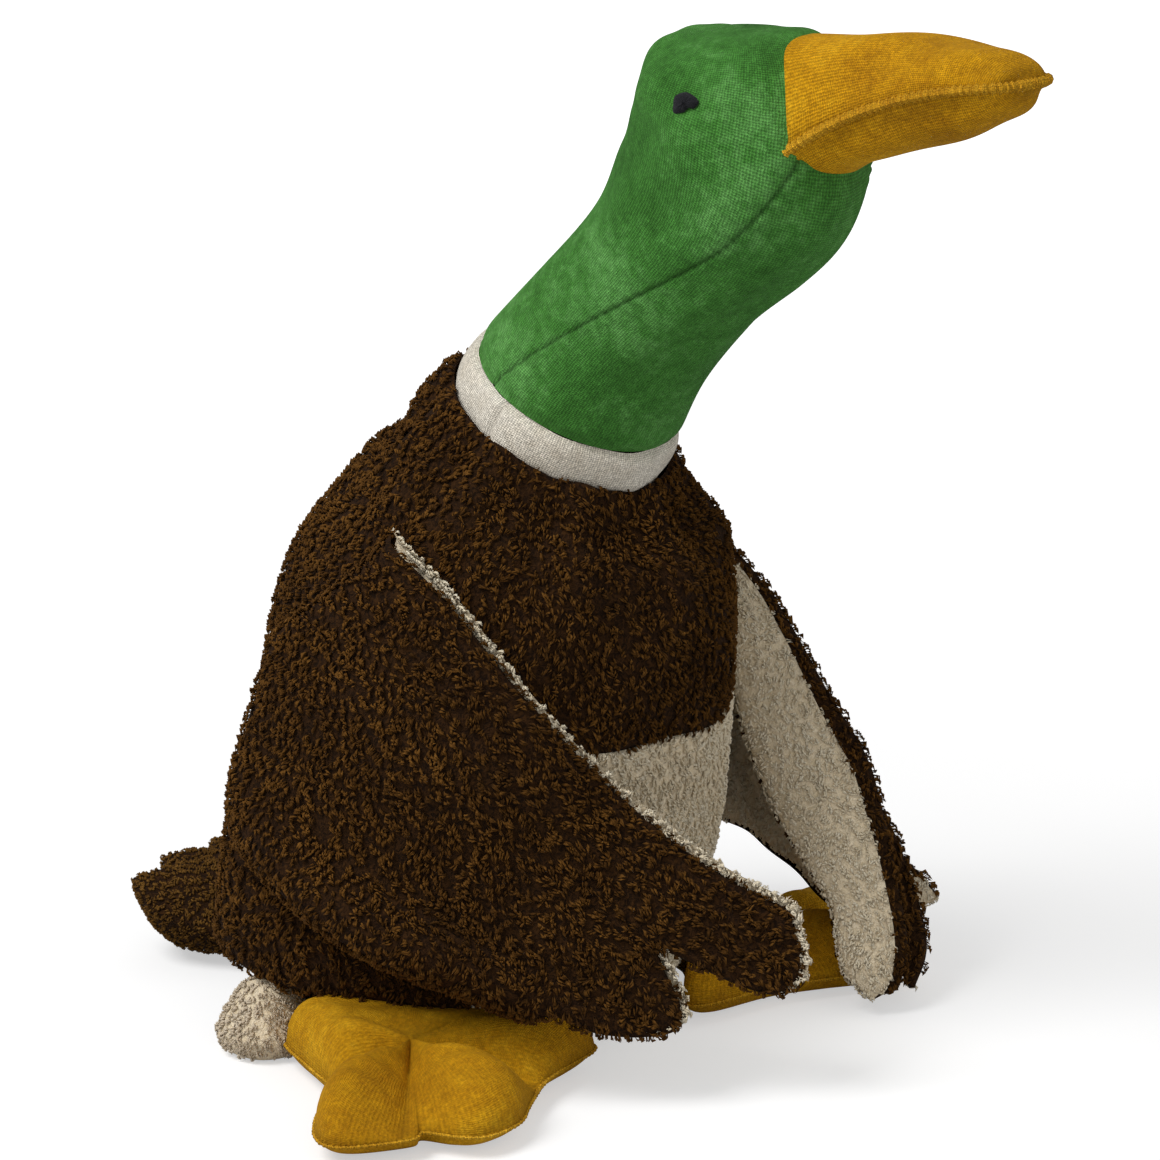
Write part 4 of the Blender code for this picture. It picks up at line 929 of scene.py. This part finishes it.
for side, sign in (("right", -1), ("left", 1)):
    flip = np.array([[0, -1], [sign, 0]])
    corner = np.array([-0.10 * hip_row[3], 0.31 * hip_row[4] + 0.0006])
    outline = (closed_outline(FOOT_SHARES, FOOT_SIZE, 220) + corner) @ flip
    centre = (np.array([0.48, 0.52]) * FOOT_SIZE + corner) @ flip

    def toe_turn(place):
        """The turn round the foot's centre, from straight ahead."""
        return np.arctan2(sign * (place[..., 0] - centre[0]), centre[1] - place[..., 1])

    def foot_top(flat, level):
        """A puffed cushion, less a valley at each stitched line, two of them creased, with
        small lumps: the puff is one minus the level to the sixth, to the power 0.55."""
        turn = toe_turn(flat)
        valley = sum(deep * bump_at(turn, place, VALLEY_WIDTH) for place, deep in VALLEYS)
        crease = sum(bump_at(turn, place, CREASE_WIDTH) for place, _ in VALLEYS[:2])
        puff = (1 - level ** 6) ** 0.55 * (1 - 0.36 * (1 - level) ** 2 - valley * level ** 0.5)
        puff -= 0.14 * crease * level ** 0.3 * (1 - level ** 8)
        lumps = 0.03 * np.sin(flat[:, 0] * 310 + flat[:, 1] * 190)
        return (FOOT_HEIGHT - EDGE_HEIGHT) * np.maximum(puff + lumps * (1 - level ** 3), 0)

    whole = pad_grid(outline, centre, edge, foot_top, sole)
    level = np.concatenate([LEVELS[::-1], LEVELS[1:]])[:, None]
    top_side = (np.arange(len(whole)) > len(LEVELS))[:, None]
    stitching = sum(bump_at(toe_turn(whole), place, STITCH_WIDTH) for place, _ in VALLEYS)
    # The groove mark is painted shade in the stitched valleys and at the rim seam.
    groove = stitching * top_side * (level > 0.15) * 0.7 + 0.5 * bump_at(level, 1, 0.012)
    foot = grid_piece(f"foot_{side}_cloth", whole, FOOT_VELOUR, [("groove", np.clip(groove, 0, 1))])
    rim_path = np.column_stack([np.vstack([outline, outline[:1]]), np.full(221, EDGE_HEIGHT)])
    foot_seam = ridge_cord(f"foot_{side}_seam_ridge", rim_path, 0.0015, 0.0030, rows=8)

    hip = np.array([-0.3075 * hip_row[3], hip_row[4] - 0.009])
    along = np.array([-sin(LEG_TURN), cos(LEG_TURN)])
    across = np.array([cos(LEG_TURN), sin(LEG_TURN)])
    local = closed_outline(LEG_SHARES, [LEG_LENGTH, LEG_WIDTH], 90)
    outline = (hip + np.outer(local[:, 0], along) + np.outer(local[:, 1], across)) @ flip
    whole = pad_grid(outline, (hip + LEG_LENGTH * 0.62 * along) @ flip, edge, leg_top, sole)
    leg = grid_piece(f"leg_{side}_cloth", whole, CREAM_GROUND)
    low_keep = above(0.003)
    leg_pile = pile_piece(f"leg_{side}_pile", [whole], LEG_PAINTED_SHADE_LOCKS, 20 + sign, keep=low_keep, **CREAM_PILE)

    for cloth, trim, slot_name in ((foot, foot_seam, "mustard_velour"), (leg, leg_pile, "cream_fleece")):
        for piece in (cloth, trim):
            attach(piece, f"leg_{side}")
    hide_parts(f"foot_{side}_upper", f"foot_{side}_sole", f"foot_{side}_filling")
    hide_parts(f"leg_{side}_upper", f"leg_{side}_under", f"leg_{side}_filling")

# %% Tail
TAIL_LENGTH, TAIL_WIDTH, TAIL_HEIGHT, TAIL_RISE, TAIL_EDGE = 0.098, 0.130, 0.034, 0.022, 0.020
TAIL_SHARES = [
    (0.00, -0.26), (0.00, 0.00), (0.00, 0.26), (0.30, 0.38), (0.62, 0.49), (0.86, 0.40), (0.80, 0.27),
    (1.00, 0.14), (0.92, 0.00), (1.00, -0.14), (0.80, -0.27), (0.86, -0.40), (0.62, -0.49), (0.30, -0.38),
]
tail_row = rows_at(body_rows, 0.185)
tail_start = tail_row[3] - tail_row[0] - 0.004
places = closed_outline(TAIL_SHARES, [TAIL_LENGTH, TAIL_WIDTH], 180)
outline = np.column_stack([places[:, 1], places[:, 0] + tail_start])
centre = np.array([0, TAIL_LENGTH / 2 + tail_start])


def tail_edge(flat):
    """The tail's seam: it rises towards the tip and curls up at both sides."""
    back_part = np.clip((flat[:, 1] - tail_start) / TAIL_LENGTH, 0, 1)
    aside = flat[:, 0] / (TAIL_WIDTH / 2)
    return TAIL_EDGE + TAIL_RISE * back_part ** 2 * (1 + 0.5 * (aside ** 2 - 0.5))


def tail_top(flat, level):
    """Up from the seam, less the flutes of the fan near its tip."""
    spread = np.arctan2(flat[:, 0], flat[:, 1] - tail_start + 0.02)
    flutes = 0.22 * np.cos(spread * 11) * level * (flat[:, 1] > centre[1] - 0.02)
    return TAIL_HEIGHT / 2 * (1 - level ** 2.5) * (1 - np.clip(flutes, 0, 1))


def tail_below(flat, level):
    """Down from the seam to three millimetres over the floor."""
    return (tail_edge(flat) - 0.003) * (1 - level ** 5)


def behind_seam(place):
    """Keeps the pile behind the seam with the body."""
    return place[:, 1] > tail_start + 0.002


whole = pad_grid(outline, centre, tail_edge, tail_top, tail_below)
tail = grid_piece("tail_cloth", whole, BROWN_GROUND_PAINTED_SHADE)
tail_pile = pile_piece("tail_pile", [whole], TAIL_PAINTED_LIGHT_LOCKS, 31, lay=[0, 1, 0], keep=behind_seam, **SHORT_PILE)
for piece in (tail, tail_pile):
    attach(piece, "tail")
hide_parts("tail_upper", "tail_under", "tail_filling")

# %% [markdown]
# ## Wings
# A wing is two layers of fleece sewn back to back and turned out: brown outside, cream inside.
# It hangs from a short straight seam at the shoulder, swings round the body and ends in soft
# lobes. The cream layer is cut a little wider in front, so it rolls out as a pale rim. The near
# wing lies in a slanting fold, and the far wing's lobes are flattened tubes along bent paths.

# %% Wing surfaces
WING_DROP, WING_REACH, WING_OUT, WING_ROOT = 0.215, 0.185, 0.120, 0.064
WING_LAYER, WING_BULGE, WING_ROOT_SHARE = 0.0055, 0.030, 0.757
WING_TURN, WING_TOE_IN, WING_ROOT_RISE = radians(104), radians(17), radians(41)
FOLD_STEP, FOLD_FOOT, FOLD_LAP = 0.016, 0.013, 0.018
RIM_WIDTH, ROLL_OUT, EDGE_SLOPE = 0.005, 0.0034, 14
NOTCHES = ((0.19, 0.81, 0.026), (0.05, 0.60, 0.035))
RIGHT_HEM_SHARES = [
    (-0.38, 0.79, 0.19), (-0.20, 0.95, 0.165), (0.04, 0.99, 0.15), (0.27, 0.90, 0.145), (0.47, 0.74, 0.155),
    (0.66, 0.62, 0.155), (0.84, 0.45, 0.155), (1.02, 0.10, 0.235), (0.99, 0.04, 0.38),
]
LEFT_HEM_SHARES = [
    (-0.34, 0.82, 0.33), (-0.18, 1.00, 0.33), (0, 1.09, 0.317), (0.17, 1.12, 0.29), (0.28, 1.136, 0.262),
    (0.40, 1.137, 0.223), (0.51, 1.11, 0.174), (0.63, 1.05, 0.14), (0.72, 0.99, 0.13),
]
RIGHT_BULGE_SHARES = (0.20, 0.35, 0.45, 0.50, 0.50, 0.45, 0.35, 0.20, 0.05)
LEFT_BULGE_SHARES = (0.40, 0.60, 0.80, 0.90, 1.00, 1.00, 0.90, 0.75, 0.60)
RIGHT_FRONT_SHARES = [
    (0, 0, 0), (0.55, 0.26, 0.24), (0.70, 0.28, -0.06), (0.40, -0.18, -0.22), (0.16, -0.06, -0.35),
    (0, 0, 0),
]
LEFT_FRONT_SHARES = [
    (0, 0, 0), (-0.15, -0.18, 0), (-0.12, -0.14, 0), (-0.10, -0.12, 0), (-0.08, -0.10, 0), (0, 0, 0),
]


def wing_place(shares, sign):
    """Shares of the wing's reach, width and drop as a place: forward, to its side and up."""
    forward, aside, height = np.moveaxis(shares * [WING_REACH, WING_OUT, WING_DROP], -1, 0)
    return np.stack([sign * aside, -forward, height], -1)


def wing_sheet(sign, shapes, creased, across, down):
    """The wing's middle sheet: straight from the shoulder seam to the hem, plus a bulge away
    from the body that is four times d(1 - d) at the part d of the way down, plus its front
    edge's own places. A creased wing has a slanting tuck under a lap: along its line the cloth
    steps in, deepest at the step's foot, and swells out just above it."""
    hem_shares, bulge_shares, front_shares = shapes
    root_turn, root_share = np.array([sign * WING_TURN]), np.array([WING_ROOT_SHARE])
    seat_point = body_surface(root_turn, root_share)[0]
    normal = outward(body_surface, root_turn, root_share)[0]
    level = cos(WING_ROOT_RISE)
    ahead = np.array([-sign * sin(WING_TOE_IN) * level, -cos(WING_TOE_IN) * level, sin(WING_ROOT_RISE)])
    ahead = unit(ahead - normal * (ahead @ normal))
    middle = seat_point + normal * (WING_LAYER - 0.001)
    hem = wing_place(rows_at(hem_shares, across), sign)
    part = down[..., None]
    sheet = (middle + (across[..., None] - 0.5) * WING_ROOT * ahead) * (1 - part) + hem * part
    out = unit(sheet * [1, 1, 0])
    bulge = 4 * down * (1 - down) * numbers_at(bulge_shares, across) * WING_BULGE
    front = rows_at(front_shares, down) * WING_BULGE * [sign, -1, 1] * bump_at(across, 1, 0.45)[..., None]
    line = 0.71 + 0.84 * (across - 0.25)
    fold = FOLD_STEP / (1 + np.exp((line - down) * 90)) + FOLD_FOOT * bump_at(down, line + 0.04, 0.05)
    fold = fold - FOLD_LAP * bump_at(down, line - 0.09, 0.08)
    bulge = bulge - creased * fold * bump_at(across, 0.40, 0.21)
    return sheet + out * bulge[..., None] + front, out, middle


def finger(path_shares, half_width_shares, half_depth_share, side_way, first, last):
    """Part of a flattened tube on a bent path: a point is the path's place, plus the half width
    times the turn's cosine to its side, plus the half depth times the sine to its face."""
    turn, share = np.meshgrid(np.radians(np.linspace(first, last, 44)), np.linspace(0, 1, 110))
    place = wing_place(rows_at(path_shares, share), 1)
    down = unit(np.gradient(place, axis=0))
    side = unit(side_way - down * (down @ side_way)[..., None])
    face = np.cross(down, side)
    width = numbers_at(half_width_shares, share) * WING_ROOT
    depth = half_depth_share * WING_ROOT * np.sqrt(np.clip(width / width.max(), 0, 1))
    grid = place + (width * np.cos(turn))[..., None] * side + (depth * np.sin(turn))[..., None] * face
    return grid[::-1, ::-1]


def rim_strip(edge, inside, out):
    """A narrow strip along a cloth's edge, five millimetres wide, that faces the way given. Its
    rows run inwards from the edge, so that pile on it lies outwards."""
    width = np.linspace(0, RIM_WIDTH, 4)[:, None, None]
    strip = edge + unit(inside - edge) * width
    facing = np.cross(strip[0, 2:] - strip[0, :-2], strip[1, 1:-1] - strip[0, 1:-1])
    return strip if (facing * out[1:-1]).sum() > 0 else strip[:, ::-1]


# %% Fingers of the far wing
LEADING_PATH_SHARES = [
    (0.06, 0.88, 1.03), (0.20, 0.95, 0.93), (0.32, 0.98, 0.82), (0.39, 0.975, 0.72), (0.49, 0.94, 0.59),
    (0.575, 0.945, 0.477), (0.625, 0.935, 0.41), (0.69, 0.93, 0.314), (0.74, 0.92, 0.234),
    (0.78, 0.885, 0.145), (0.80, 0.853, 0.078), (0.807, 0.825, 0.036),
]
LEADING_WIDTH_SHARES = (0.10, 0.16, 0.20, 0.27, 0.34, 0.38, 0.36, 0.30, 0.25, 0.25, 0.19, 0.02)
SECOND_PATH_SHARES = [
    (0.66, 1.10, 0.38), (0.70, 1.11, 0.309), (0.75, 1.11, 0.208), (0.80, 1.08, 0.110), (0.83, 1.04, 0.035),
]
THIRD_PATH_SHARES = [(0.60, 1.12, 0.27), (0.68, 1.20, 0.235), (0.74, 1.26, 0.205), (0.78, 1.31, 0.19)]
SPREAD = np.array([cos(radians(50)), -sin(radians(50)), 0])
UPRIGHT = np.array([0, 0, 1.0])
FINGERS = (
    (LEADING_PATH_SHARES, LEADING_WIDTH_SHARES, 0.15, SPREAD, (190, 412), (52, 190)),
    (SECOND_PATH_SHARES, (0.12, 0.13, 0.14, 0.13, 0.02), 0.09, SPREAD, (-30, 200), (200, 330)),
    (THIRD_PATH_SHARES, (0.17, 0.16, 0.12, 0.01), 0.07, UPRIGHT, (-150, 35), (35, 210)),
)

# %% Wings
WINGS = (
    ("right", -1, (RIGHT_HEM_SHARES, RIGHT_BULGE_SHARES, RIGHT_FRONT_SHARES), 1, 0),
    ("left", 1, (LEFT_HEM_SHARES, LEFT_BULGE_SHARES, LEFT_FRONT_SHARES), 0, 5),
)
for side, sign, shapes, creased, bare_rows in WINGS:
    across, down = np.meshgrid(np.linspace(0, 1, 240), np.linspace(0, 1, 150))
    edge_part = (np.minimum(np.minimum(across, 1 - across), 1 - down) * EDGE_SLOPE).clip(0, 1)
    notches = sum(deep * bump_at(across, place, width) for deep, place, width in NOTCHES)
    down = down * (1 - creased * notches)
    sheet, out, middle = wing_sheet(sign, shapes, creased, across, down)
    waves = 0.0022 * np.sin(across * 13 + down * 2.2) + 0.0011 * np.sin(across * 29 - down * 5)
    sheet = sheet + out * (waves * down * np.sin(pi * across))[..., None]
    side_out = unit(np.cross(np.gradient(sheet, axis=0), np.gradient(sheet, axis=1)) * -sign)
    loft = np.sqrt(1 - (1 - edge_part) ** 2)
    sunk = bump_at(down, 0, 0.035)
    outer_stand = WING_LAYER * (0.15 + 0.85 * loft) * (1 - sunk) - 0.010 * sunk
    inner_stand = WING_LAYER * (0.10 + 0.70 * loft) + 0.009 * sunk
    free = (1 - np.exp(-down / 0.03)) * bump_at(across, 1, 0.75)
    outer = sheet + side_out * outer_stand[..., None]
    inner = sheet - side_out * inner_stand[..., None] + free[..., None] * [0, -ROLL_OUT, ROLL_OUT]
    browns, creams = [outer[::-1, ::-sign]], [inner[::-1, ::sign]]
    if side == "left":
        for *tube, brown_part, cream_part in FINGERS:
            browns.append(finger(*tube, *brown_part))
            creams.append(finger(*tube, *cream_part))
    # The far wing shows the edge of its hem, so its brown pile stops a few rows above it. The
    # cream pile is doubled along the front and the hem, where it rolls out as a rim.
    covered = [grid[bare_rows:] for grid in browns]
    front_rim = rim_strip(inner[12:, -1], inner[12:, -9], side_out[12:, -1])
    hem_rim = rim_strip(inner[-1, 20:], inner[-9, 20:], side_out[-1, 20:])
    rimmed = creams + [front_rim, hem_rim] * 2
    cloths = []
    for colour, grids, ground in (("brown", browns, BROWN_GROUND_PAINTED_SHADE), ("cream", creams, CREAM_GROUND)):
        parts = [grid_piece(f"{colour}_{k}", grid, ground) for k, grid in enumerate(grids)]
        cloths.append(join_pieces(f"wing_{side}_{colour}_cloth", parts))
    for colour, cloth, grids, replaced, pile_grids, locks, seed, form in (
        ("brown", cloths[0], browns, "outer", covered, BROWN_LOCKS, 40, {"parted": True}),
        ("cream", cloths[1], creams, "lining", rimmed, CREAM_LOCKS, 50, CREAM_PILE),
    ):
        pile = pile_piece(f"wing_{side}_{colour}_pile", pile_grids, locks, seed + sign, **form)
        for piece in (cloth, pile):
            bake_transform(piece)
        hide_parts(f"wing_{side}_{replaced}")
